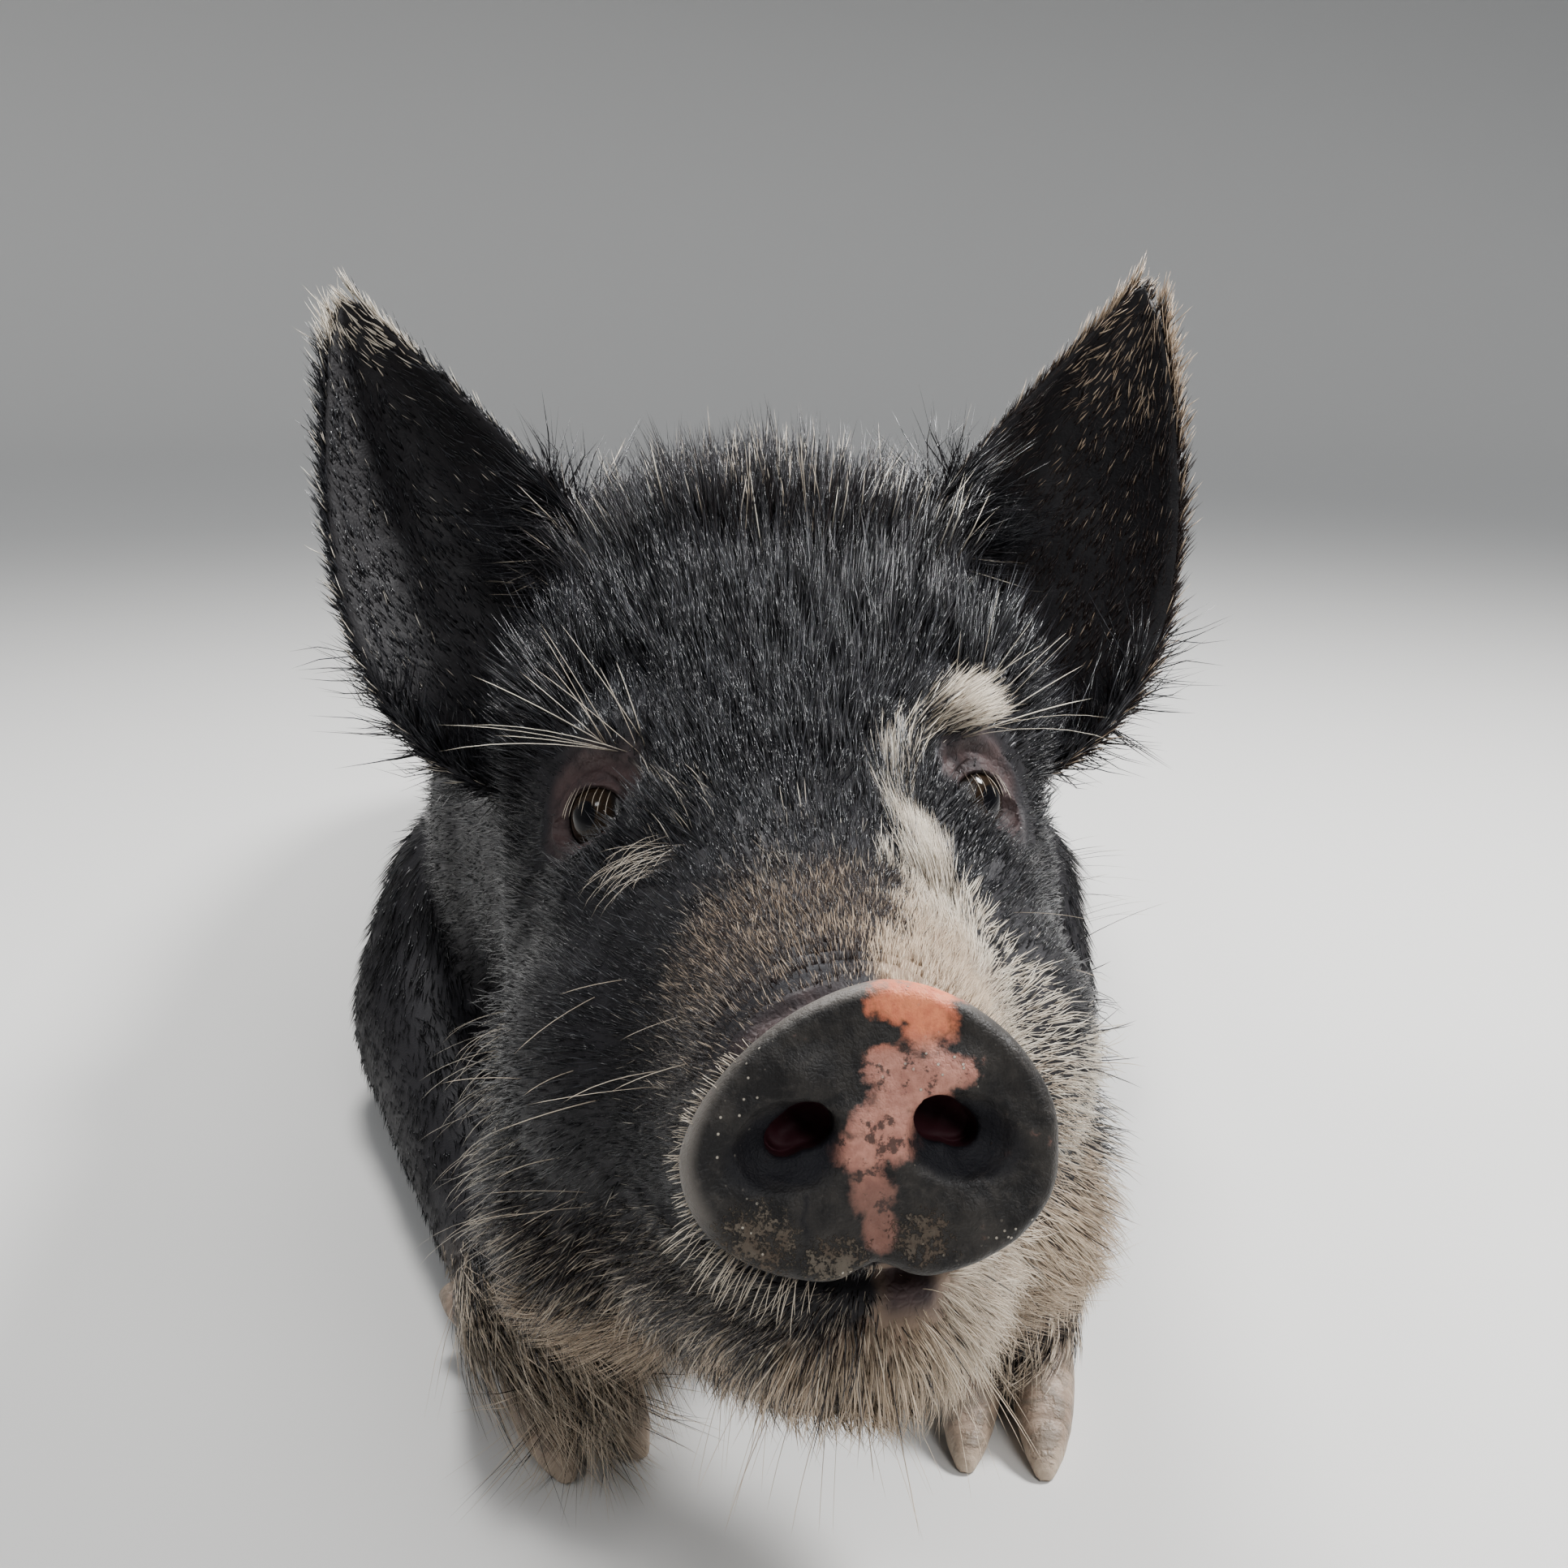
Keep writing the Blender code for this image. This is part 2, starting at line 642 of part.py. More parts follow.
def disc_outline(scale, count):
    """The snout disc's outline, an egg with a narrow top and a notch in its lower edge."""
    points = []
    for x, z in egg_ring(
        DISC_HALF_WIDTH * scale, DISC_UP * scale, DISC_DOWN * scale, DISC_ROUND_TOP, DISC_ROUND_BOTTOM, count
    ):
        notch = DISC_NOTCH * math.exp(-((x / 0.007) ** 2)) if z < 0 else 0.0
        points.append((x + DISC_LEAN * max(z, 0.0), z + notch))
    return points


def snout_disc(material):
    """The flat, bare end of the snout, with its two nostrils."""
    count = 32
    rings = []
    for scale, y in (
        (0.86, DISC_BACK),
        (0.96, DISC_BACK - 0.004),
        (1.00, DISC_FRONT + 2 * DISC_RIM),
        (0.985, DISC_FRONT + DISC_RIM * 0.9),
        (0.93, DISC_FRONT + DISC_RIM * 0.25),
        (0.80, DISC_FRONT),
        (0.55, DISC_FRONT - DISC_CROWN * 0.15),
        (0.28, DISC_FRONT - DISC_CROWN * 0.3),
    ):
        rings.append([to_head(x, y, DISC_MIDDLE + z) for x, z in disc_outline(scale, count)])
    bm = bmesh.new()
    skin_rings(bm, rings)
    disc = object_from(bm, "snout_disc", material)
    nostrils = []
    for side in (1.0, -1.0):
        bm = bmesh.new()
        at = (NOSTRIL_SHIFT + NOSTRIL_OUT * side, DISC_FRONT - 0.002, DISC_MIDDLE + NOSTRIL_UP)
        turn = Matrix.Rotation(math.radians(18.0) * side, 4, "Y")
        bmesh.ops.create_uvsphere(
            bm,
            u_segments=18,
            v_segments=10,
            radius=1.0,
            matrix=HEAD_PLACE
            @ Matrix.Translation(at)
            @ turn
            @ Matrix.Diagonal((NOSTRIL_HALF_WIDTH, NOSTRIL_DEPTH, NOSTRIL_HALF_HEIGHT, 1.0)),
        )
        nostrils.append(object_from(bm, "nostril"))
    boolean(disc, nostrils, "DIFFERENCE")
    keep_largest(disc)
    return disc


def mouth_cutter():
    """A thin curved slab that opens the lips from the front to both corners."""
    bm = bmesh.new()
    rows = smooth_stations(MOUTH_LINE, 2)
    wide = 0.12
    rings = []
    for k, (y, z) in enumerate(rows):
        half = MOUTH_OPEN / 2 * (1.0 if k < len(rows) - 2 else 0.6)
        rings.append([to_head(x, y, z + h) for x, h in ((-wide, -half), (wide, -half), (wide, half), (-wide, half))])
    skin_rings(bm, rings)
    return object_from(bm, "mouth")


def eye_parts(side, name, material):
    """An eyeball, and the lid mound and lid opening that frame it."""
    axis = Vector((EYE_AXIS.x * side, EYE_AXIS.y, EYE_AXIS.z)).normalized()
    middle = Vector((EYE_MIDDLE.x * side, EYE_MIDDLE.y, EYE_MIDDLE.z))
    across = axis.cross(Vector((0, 0, 1))).normalized()
    up = across.cross(axis).normalized()
    look = Matrix((across, -axis, up)).transposed().to_4x4()
    place = HEAD_PLACE @ Matrix.Translation(middle) @ look

    def ball(radius, scale=(1, 1, 1), shift=0.0, label="ball"):
        bm = bmesh.new()
        bmesh.ops.create_uvsphere(
            bm,
            u_segments=16,
            v_segments=10,
            radius=radius,
            matrix=place @ Matrix.Translation((0, -shift, 0)) @ Matrix.Diagonal((*scale, 1)),
        )
        return object_from(bm, label)

    eyeball = ball(EYE_RADIUS, label=name)
    eyeball.data.materials.append(material)
    mound = ball(EYE_RADIUS + LID_THICK, label="lid_mound")
    socket = ball(EYE_RADIUS + GAP, label="socket")
    opening = ball(
        1.0,
        (LID_HALF_WIDTH, EYE_RADIUS * 0.65, LID_HALF_HEIGHT),
        EYE_RADIUS * 0.95,
        "lid_opening",
    )
    return eyeball, mound, socket, opening


def four_point_curve(points, t):
    """A point of a cubic Bezier curve."""
    a, b, c, d = (Vector(point) for point in points)
    s = 1 - t
    return a * s**3 + b * 3 * s * s * t + c * 3 * s * t * t + d * t**3


def ear_sheet(side):
    """The middle surface of one ear, cupped forwards, as rows of points from root to tip."""
    rows = []
    for i in range(EAR_STEPS):
        t = i / (EAR_STEPS - 1)
        inner = four_point_curve(EAR_INNER, t)
        outer = four_point_curve(EAR_OUTER, t)
        chord = outer - inner
        back = Vector((-0.25, 1.0, 0.0)).normalized()
        depth = min(EAR_CUP, 0.42 * chord.length) * (1 - 0.35 * t)
        row = []
        for j in range(EAR_ACROSS):
            s = j / (EAR_ACROSS - 1)
            bow = 4 * s * (1 - s)
            point = inner + chord * s + back * depth * bow
            row.append(to_head(point.x, point.y, point.z, side))
        rows.append(row)
    return rows


def shape_face(nodes, materials):
    """Sets the eyes in their lids, opens the mouth and sets the snout disc on the muzzle."""
    head = nodes["head"]
    mounds, sockets, openings = [], [], []
    for side, name in ((1.0, "eye_left"), (-1.0, "eye_right")):
        eyeball, mound, socket, opening = eye_parts(side, name, materials["eye"])
        nodes[name] = eyeball
        mounds.append(mound)
        sockets.append(socket)
        openings.append(opening)
    front = half_space("muzzle_end", to_head(0, DISC_BACK + GAP, 0), head_direction(0, -1, 0))
    boolean(head, mounds, "UNION")
    boolean(head, sockets + openings, "DIFFERENCE")
    boolean(head, [mouth_cutter()], "DIFFERENCE")
    boolean(head, [front], "DIFFERENCE")
    keep_largest(head)
    nodes["snout_disc"] = snout_disc(materials["snout"])


def ear(side, name, material, nodes):
    """One thin cupped ear whose root meets the head and neck face to face."""
    bm = bmesh.new()
    rows = ear_sheet(side)
    grid = [[bm.verts.new(point) for point in row] for row in rows[:-1]]
    tip = bm.verts.new(rows[-1][0])
    for one, two in zip(grid, grid[1:]):
        for j in range(EAR_ACROSS - 1):
            bm.faces.new((one[j], one[j + 1], two[j + 1], two[j]))
    for j in range(EAR_ACROSS - 1):
        bm.faces.new((grid[-1][j], grid[-1][j + 1], tip))
    bmesh.ops.triangulate(bm, faces=bm.faces)
    made = object_from(bm, name, material)
    shell = made.modifiers.new("shell", "SOLIDIFY")
    shell.thickness = EAR_THICK
    shell.offset = 0.0
    shell.use_even_offset = False
    bake_modifiers(made)
    boolean(made, ear_locks(side, random.Random(11)), "UNION")
    cut_clear(made, [nodes["head"], nodes["neck"]])
    return made


def claw(name, at, heading, side, material, flesh):
    """One cloven claw: a horn wedge with a flat sole, pointed ahead."""
    bm = bmesh.new()
    rings = []
    for t, wide, high in (
        (-0.55, 0.62, 0.78),
        (-0.25, 0.86, 1.02),
        (0.10, 1.00, 1.00),
        (0.45, 0.92, 0.74),
        (0.75, 0.66, 0.46),
        (0.94, 0.34, 0.25),
        (1.00, 0.14, 0.12),
    ):
        half = CLAW_WIDTH / 2 * wide
        top = CLAW_HEIGHT * high
        ring = []
        for k in range(8):
            turn = 2 * math.pi * (k + 0.5) / 8
            x = half * signed_power(math.cos(turn), 0.8)
            z = top * (0.5 + 0.5 * signed_power(math.sin(turn), 0.8))
            inward = -0.10 * side * CLAW_WIDTH * t * t
            ring.append((x + inward, -CLAW_LENGTH * t, max(z - 0.0015, 0.0)))
        rings.append(ring)
    skin_rings(bm, rings)
    made = object_from(bm, name, material)
    turn = Matrix.Rotation(heading + CLAW_TOE_OUT * side, 4, "Z")
    shift = turn @ Matrix.Translation((CLAW_SPREAD * side, 0.0, 0.0))
    made.data.transform(Matrix.Translation((at.x, at.y, 0.0)) @ shift)
    cut_clear(made, flesh)
    return made


def dewclaw(name, at, heading, side, material, flesh):
    """A small claw behind and beside the pastern, clear of the floor."""
    bm = bmesh.new()
    rings = []
    for t, size in ((-0.5, 0.8), (0.0, 1.0), (0.6, 0.7), (1.0, 0.2)):
        ring = []
        for k in range(6):
            turn = 2 * math.pi * k / 6
            radius = DEWCLAW_RADIUS * size
            ring.append((radius * math.cos(turn), -DEWCLAW_LENGTH * t, radius * math.sin(turn)))
        rings.append(ring)
    skin_rings(bm, rings)
    made = object_from(bm, name, material)
    turn = Matrix.Rotation(heading - math.radians(12.0) * side, 4, "Z")
    place = Matrix.Translation(at) @ turn @ Matrix.Translation((0.022 * side, 0.020, -0.010))
    made.data.transform(place @ Matrix.Rotation(math.radians(20.0), 4, "X"))
    cut_clear(made, flesh)
    return made


def foot(leg_name, route, materials, nodes):
    """Two claws and two dewclaws at the end of one leg."""
    ankle = Vector(route[-1][0])
    before = Vector(route[-2][0])
    along = ankle - before
    heading = math.atan2(along.x, -along.y)
    base = ankle + Vector((math.sin(heading), -math.cos(heading), 0.0)) * 0.006
    made = {}
    flesh = [nodes[leg_name], nodes["torso"]]
    for label, side in (("outer", 1.0), ("inner", -1.0)):
        side = side if "left" in leg_name else -side
        name = leg_name.replace("leg", "claw") + "_" + label
        made[name] = claw(name, base, heading, side, materials["horn"], flesh)
        name = leg_name.replace("leg", "dewclaw") + "_" + label
        made[name] = dewclaw(name, before, heading, side, materials["horn"], flesh)
    return made


def tail(material, torso, draw):
    """The tail, hanging at rest, with its tuft."""
    bm = bmesh.new()
    tube(bm, TAIL, sides=8, steps=2)
    made = object_from(bm, "tail", material)
    boolean(made, tail_locks(draw), "UNION")
    cut_clear(made, [torso])
    return made


def surface_of(piece):
    return BVHTree.FromObject(piece, bpy.context.evaluated_depsgraph_get())


def lock(root, out, lie, size, draw, lift=0.5, face=None):
    """A flat tapered lock of bristles, rooted under the skin and bending over to its lie.

    It stands off the skin by the share lift of its direction out, and the rest is its lie.
    Its flat side faces out of the skin, or along face where that is given.
    """
    length, width, thick = (value * draw.uniform(0.85, 1.15) for value in size)
    lie = (lie - out * lie.dot(out)).normalized()
    start = (out * lift + lie * (1 - lift)).normalized()
    end = (out * lift * 0.35 + lie).normalized()
    side = start.cross(face or lie.cross(start).cross(start)).normalized()
    place = root - start * LOCK_SINK
    reach = LOCK_SINK + length
    rings = []
    for t, wide in ((0.0, 0.80), (0.45, 1.0), (0.78, 0.62)):
        if rings:
            place = place + along * reach * (t - before)
        along = (start * (1 - t) + end * t).normalized()
        flat = side.cross(along).normalized()
        half = side * (width * wide / 2)
        rise = flat * (thick * wide / 2)
        rings.append((place + half, place + rise, place - half, place - rise))
        before = t
    tip = place + end * reach * (1 - before)
    bm = bmesh.new()
    loops = [[bm.verts.new(point) for point in ring] for ring in rings]
    for one, two in zip(loops, loops[1:]):
        for k in range(4):
            bm.faces.new((one[k], one[(k + 1) % 4], two[(k + 1) % 4], two[k]))
    point = bm.verts.new(tip)
    for k in range(4):
        bm.faces.new((loops[-1][k], loops[-1][(k + 1) % 4], point))
    bm.faces.new(loops[0])
    bmesh.ops.triangulate(bm, faces=bm.faces)
    return object_from(bm, "lock")


def lock_at(surface, start, towards, lie, size, draw, lift=0.5):
    """A lock where a ray from outside first meets a node's surface, or none where it misses."""
    towards = towards.normalized()
    place, normal, _, _ = surface.ray_cast(start, towards)
    if place is None:
        return []
    return [lock(place, normal, lie, size, draw, lift)]


def add_locks(node, locks, neighbours=()):
    """Fuses all its locks to a node, each cut clear of the nodes next to it."""
    for piece in locks:
        cut_clear(piece, neighbours)
    boolean(node, locks, "UNION")
    keep_largest(node)


def head_direction(x, y, z):
    return HEAD_PLACE.to_3x3() @ Vector((x, y, z))


def poll_locks(head, draw):
    """The brush of bristles that stands on the crown between the ears."""
    surface = surface_of(head)
    locks = []
    for row, (y, count, half) in enumerate(((0.052, 7, 0.052), (0.078, 8, 0.060))):
        for k in range(count):
            x = half * (2 * (k + 0.5) / count - 1) + draw.uniform(-0.003, 0.003)
            lie = head_direction(x * 1.5, 0.6, 0.8)
            start = to_head(x, y + draw.uniform(-0.004, 0.004), 0.25)
            locks += lock_at(surface, start, head_direction(0, 0, -1), lie, POLL_LOCK, draw, 0.55)
    return locks


def crest_locks(node, low_y, high_y, size, rows, draw):
    """Bristles along the top line of a node, which lean back over one another."""
    surface = surface_of(node)
    locks = []
    for k in range(rows):
        y = low_y + (high_y - low_y) * (k + 0.5) / rows
        across = (-0.013, 0.013) if k % 2 else (0.0,)
        for x in across:
            start = Vector((neck_middle(y) + x + draw.uniform(-0.003, 0.003), y, 0.6))
            lie = Vector((x * 8, 1.0, 0.1))
            locks += lock_at(surface, start, Vector((0, 0, -1)), lie, size, draw, 0.5)
    return locks


def jowl_locks(head, draw):
    """Long pale bristles on both jowls, which lie back and down over one another."""
    surface = surface_of(head)
    locks = []
    for side in (1.0, -1.0):
        for y, heights in ((-0.022, (-0.075, -0.106, -0.134)), (0.012, (-0.060, -0.092, -0.122, -0.148))):
            for z in heights:
                start = to_head(0.20, y + draw.uniform(-0.005, 0.005), z + draw.uniform(-0.005, 0.005), side)
                lie = head_direction(side * 0.3, 0.75, -0.6)
                locks += lock_at(surface, start, head_direction(-side, 0, 0), lie, JOWL_LOCK, draw, 0.22)
    return locks


def chin_locks(head, draw):
    """Pale bristles under the chin and jaw, which point down and forwards."""
    surface = surface_of(head)
    locks = []
    for y, count, half in ((-0.128, 3, 0.016), (-0.100, 4, 0.030), (-0.062, 4, 0.046)):
        for k in range(count):
            x = half * (2 * (k + 0.5) / count - 1) + draw.uniform(-0.003, 0.003)
            lie = head_direction(x * 12, -0.15, -0.2)
            start = to_head(x, y, -0.30)
            locks += lock_at(surface, start, head_direction(0, 0, 1), lie, CHIN_LOCK, draw, 0.55)
    return locks


def ear_locks(side, draw):
    """A fringe of hair along the outer rim and the tip of an ear, flat in its sheet."""
    rows = ear_sheet(side)
    locks = []
    for t in np.linspace(0.15, 0.97, EAR_LOCKS):
        i = min(int(t * (EAR_STEPS - 1)), EAR_STEPS - 2)
        share = t * (EAR_STEPS - 1) - i
        edge = rows[i][-1].lerp(rows[i + 1][-1], share)
        inside = rows[i][-2].lerp(rows[i + 1][-2], share)
        along = (rows[i + 1][-1] - rows[i][-1]).normalized()
        out = (edge - inside).normalized()
        length, width, thick = EAR_LOCK
        longer = 1.35 if t > 0.85 else 1.0
        size = (length * longer, width * (1 - 0.4 * t), thick)
        locks.append(lock(edge, out, along, size, draw, 0.62, out.cross(along)))
    return locks


def foot_locks(leg, route, draw):
    """Long hair over the pastern, which falls over the tops of the claws."""
    surface = surface_of(leg)
    ankle, before = Vector(route[-1][0]), Vector(route[-2][0])
    along = (ankle - before).normalized()
    side = along.cross(Vector((0, 0, 1))).normalized()
    locks = []
    for k in range(4):
        turn = math.radians(-70 + 140 * k / 3)
        away = side * math.sin(turn) + Vector((0, 0, 1)) * math.cos(turn)
        middle = before.lerp(ankle, draw.uniform(0.2, 0.6))
        lie = along + away * 0.1
        locks += lock_at(surface, middle + away * 0.2, -away, lie, FOOT_LOCK, draw, 0.35)
    return locks


def tail_locks(draw):
    """The tuft at the end of the tail."""
    end = Vector(TAIL[-1][0])
    locks = []
    for k in range(5):
        turn = 2 * math.pi * (k + 0.5) / 5
        out = Vector((math.cos(turn), math.sin(turn), 0.0))
        root = end + Vector((0, 0, 0.012)) + out * 0.0035
        locks.append(lock(root, out, Vector((0, 0, -1)), TAIL_LOCK, draw, 0.22))
    return locks


def shade(piece):
    piece.data.shade_smooth()
    piece.data.set_sharp_from_angle(angle=math.radians(50))


def centre_on_floor(pieces):
    """Moves all pieces alike, so that the origin is under the middle of their common box."""
    corners = np.array([vertex.co for piece in pieces for vertex in piece.data.vertices])
    low, high = corners.min(axis=0), corners.max(axis=0)
    shift = Matrix.Translation((-(low[0] + high[0]) / 2, -(low[1] + high[1]) / 2, 0.0))
    for piece in pieces:
        piece.data.transform(shift)


def neck_middle(y):
    """The middle of the neck in X at a place along Y."""
    ys = [section.y for section in TRUNK]
    xs = [section.x for section in TRUNK]
    return float(np.interp(y, ys, xs))


def main():
    clear_scene()
    draw = random.Random(7)
    coat = finish("black_coat", *BLACK_COAT)
    materials = {
        "ear": finish("ear_skin", *EAR_SKIN),
        "snout": finish("snout_skin", *SNOUT_SKIN),
        "eye": finish("eye", *EYE_DARK),
        "horn": finish("claw_horn", *CLAW_HORN),
        "tail": finish("tail_coat", *TAIL_COAT),
    }
    flesh = make_flesh()
    flesh.data.materials.clear()
    flesh.data.materials.append(coat)
    nodes = flesh_nodes(flesh)
    shape_face(nodes, materials)
    for side, name in ((1.0, "ear_left"), (-1.0, "ear_right")):
        nodes[name] = ear(side, name, materials["ear"], nodes)
    add_locks(nodes["head"], poll_locks(nodes["head"], draw))
    add_locks(nodes["head"], jowl_locks(nodes["head"], draw) + chin_locks(nodes["head"], draw))
    add_locks(nodes["neck"], crest_locks(nodes["neck"], -0.215, -0.090, NECK_LOCK, 7, draw))
    cut_clear(nodes["neck"], [nodes["head"]])
    add_locks(nodes["torso"], crest_locks(nodes["torso"], -0.050, 0.300, BACK_LOCK, 17, draw))
    cut_clear(nodes["torso"], [nodes["neck"]])
    for leg_name, route in (
        ("foreleg_left", FORELEG_LEFT),
        ("foreleg_right", FORELEG_RIGHT),
        ("hindleg_left", HINDLEG_LEFT),
        ("hindleg_right", mirrored_route(HINDLEG_LEFT)),
    ):
        locks = foot_locks(nodes[leg_name], route, draw)
        add_locks(nodes[leg_name], locks, [nodes["torso"], nodes["neck"]])
        nodes.update(foot(leg_name, route, materials, nodes))
    nodes["tail"] = tail(materials["tail"], nodes["torso"], draw)
    for piece in nodes.values():
        shade(piece)
    centre_on_floor(list(nodes.values()))


main()
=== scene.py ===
"""The looks of a young black pig with white points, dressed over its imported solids.

Life size, in metres, +Z up, with the snout towards -Y and the pig's left side on +X.
"""

import math
from collections import namedtuple
from contextlib import contextmanager

import bmesh
import bpy
import numpy as np
from mathutils import Matrix, Vector
from mathutils.kdtree import KDTree


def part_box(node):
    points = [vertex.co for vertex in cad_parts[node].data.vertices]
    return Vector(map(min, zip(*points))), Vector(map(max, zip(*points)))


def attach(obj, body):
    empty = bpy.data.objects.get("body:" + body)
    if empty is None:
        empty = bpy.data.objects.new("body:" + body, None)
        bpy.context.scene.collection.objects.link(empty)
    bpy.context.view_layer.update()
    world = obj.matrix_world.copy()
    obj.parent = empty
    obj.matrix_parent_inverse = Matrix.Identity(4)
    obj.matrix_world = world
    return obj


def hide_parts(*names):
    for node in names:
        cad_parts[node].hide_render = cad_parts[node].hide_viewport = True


bl_info = {
    "name": "Lying pig",
    "version": (1, 0, 0),
    "blender": (4, 5, 0),
    "location": "3D View > Sidebar > Pig",
    "description": "Builds the skin, snout, eyes, claws and bristles of a lying pig",
    "category": "Add Mesh",
}

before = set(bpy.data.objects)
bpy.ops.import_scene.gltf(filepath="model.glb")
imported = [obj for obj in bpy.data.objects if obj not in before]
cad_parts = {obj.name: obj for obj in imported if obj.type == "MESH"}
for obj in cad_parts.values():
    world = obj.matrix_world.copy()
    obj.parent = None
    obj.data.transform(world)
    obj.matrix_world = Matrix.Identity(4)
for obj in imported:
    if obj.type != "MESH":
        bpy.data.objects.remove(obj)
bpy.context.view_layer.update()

# The head is modelled level, facing -Y about the point between the eyes, then set here
HEAD_AT = Vector((0.031, -0.372, 0.262))
HEAD_PLACE = (
    Matrix.Translation(HEAD_AT)
    @ Matrix.Rotation(math.radians(4.6), 4, "Z")
    @ Matrix.Rotation(math.radians(-20.0), 4, "X")
    @ Matrix.Rotation(math.radians(-1.0), 4, "Y")
)
HEAD_TURN = np.array(HEAD_PLACE.to_3x3())
HEAD_SPOT = np.array(HEAD_PLACE.translation)

Section = namedtuple("Section", "y x top bottom half widest round_top round_bottom")

TRUNK = (
    Section(-0.300, 0.026, 0.322, 0.130, 0.076, 0.215, 2.0, 2.0),
    Section(-0.250, 0.022, 0.338, 0.078, 0.098, 0.190, 2.0, 2.0),
    Section(-0.180, 0.014, 0.330, 0.040, 0.120, 0.170, 2.0, 2.1),
    Section(-0.100, 0.005, 0.318, 0.008, 0.140, 0.155, 2.0, 2.2),
    Section(-0.010, 0.000, 0.312, -0.008, 0.160, 0.145, 2.1, 2.4),
    Section(0.090, 0.000, 0.316, -0.012, 0.176, 0.140, 2.1, 2.5),
    Section(0.190, 0.000, 0.322, -0.012, 0.186, 0.138, 2.1, 2.5),
    Section(0.290, 0.000, 0.322, -0.012, 0.186, 0.140, 2.1, 2.5),
    Section(0.380, 0.000, 0.312, -0.008, 0.176, 0.145, 2.1, 2.3),
    Section(0.455, 0.000, 0.288, 0.004, 0.146, 0.150, 2.1, 2.1),
    Section(0.505, 0.000, 0.256, 0.030, 0.108, 0.150, 2.0, 2.0),
    Section(0.540, 0.000, 0.216, 0.070, 0.062, 0.150, 2.0, 2.0),
)
HEAD = (
    Section(-0.160, 0.0, -0.0520, -0.1080, 0.0355, -0.085, 2.0, 2.3),
    Section(-0.150, 0.0, -0.0490, -0.1110, 0.0362, -0.086, 2.0, 2.3),
    Section(-0.130, 0.0, -0.0410, -0.1150, 0.0390, -0.087, 2.1, 2.2),
    Section(-0.100, 0.0, -0.0310, -0.1240, 0.0450, -0.086, 2.1, 2.2),
    Section(-0.070, 0.0, -0.0170, -0.1360, 0.0555, -0.086, 2.1, 2.2),
    Section(-0.040, 0.0, 0.0040, -0.1500, 0.0680, -0.084, 2.2, 2.2),
    Section(-0.010, 0.0, 0.0370, -0.1610, 0.0805, -0.080, 2.3, 2.2),
    Section(0.020, 0.0, 0.0730, -0.1660, 0.0900, -0.075, 2.5, 2.2),
    Section(0.048, 0.0, 0.1000, -0.1620, 0.0935, -0.068, 2.7, 2.2),
    Section(0.072, 0.0, 0.1110, -0.1500, 0.0900, -0.058, 2.8, 2.1),
    Section(0.096, 0.0, 0.1060, -0.1280, 0.0820, -0.040, 2.6, 2.0),
    Section(0.118, 0.0, 0.0850, -0.0980, 0.0680, -0.020, 2.4, 2.0),
)
JAW = (
    Section(-0.1500, 0.0, -0.1150, -0.1320, 0.0130, -0.1220, 2.3, 2.2),
    Section(-0.1430, 0.0, -0.1120, -0.1375, 0.0200, -0.1220, 2.3, 2.2),
    Section(-0.1250, 0.0, -0.1080, -0.1440, 0.0290, -0.1220, 2.2, 2.2),
    Section(-0.0950, 0.0, -0.1000, -0.1500, 0.0400, -0.1200, 2.1, 2.2),
    Section(-0.0600, 0.0, -0.0900, -0.1560, 0.0530, -0.1180, 2.0, 2.1),
    Section(-0.0200, 0.0, -0.0800, -0.1610, 0.0660, -0.1150, 2.0, 2.0),
)
# Rounded masses under the skin: middle, radii and turn about Z in degrees
HEAD_MASSES = (
    ((0.046, -0.010, -0.078), (0.044, 0.060, 0.050), 0),
    ((0.048, 0.018, -0.115), (0.048, 0.062, 0.052), 0),
    ((0.043, 0.004, 0.020), (0.024, 0.022, 0.015), -25),
    ((0.064, 0.045, 0.020), (0.028, 0.040, 0.046), 0),
    ((0.052, -0.012, -0.030), (0.024, 0.026, 0.016), -20),
)
BODY_MASSES = (
    ((0.084, -0.015, 0.150), (0.078, 0.130, 0.135), 0),
    ((0.100, 0.345, 0.128), (0.098, 0.150, 0.128), 8),
)
FORELEG_LEFT = (
    ((0.142, 0.010, 0.100), 0.058),
    ((0.152, -0.045, 0.050), 0.050),
    ((0.145, -0.110, 0.037), 0.0385),
    ((0.131, -0.185, 0.0315), 0.0335),
    ((0.127, -0.235, 0.027), 0.0270),
    ((0.123, -0.283, 0.030), 0.0285),
    ((0.119, -0.310, 0.028), 0.0260),
)
FORELEG_RIGHT = (
    ((-0.140, 0.010, 0.100), 0.058),
    ((-0.157, -0.045, 0.050), 0.050),
    ((-0.139, -0.115, 0.037), 0.0385),
    ((-0.113, -0.185, 0.0315), 0.0335),
    ((-0.095, -0.238, 0.027), 0.0270),
    ((-0.073, -0.287, 0.030), 0.0285),
    ((-0.060, -0.312, 0.028), 0.0260),
)
THIGH_LEFT = (
    ((0.092, 0.385, 0.140), 0.108),
    ((0.120, 0.300, 0.104), 0.092),
    ((0.144, 0.235, 0.070), 0.068),
    ((0.150, 0.205, 0.055), 0.054),
)
HINDLEG_LEFT = (
    ((0.162, 0.435, 0.055), 0.044),
    ((0.172, 0.430, 0.036), 0.038),
    ((0.184, 0.385, 0.0285), 0.030),
    ((0.193, 0.330, 0.0255), 0.0265),
    ((0.199, 0.285, 0.029), 0.0275),
    ((0.202, 0.258, 0.028), 0.0255),
)
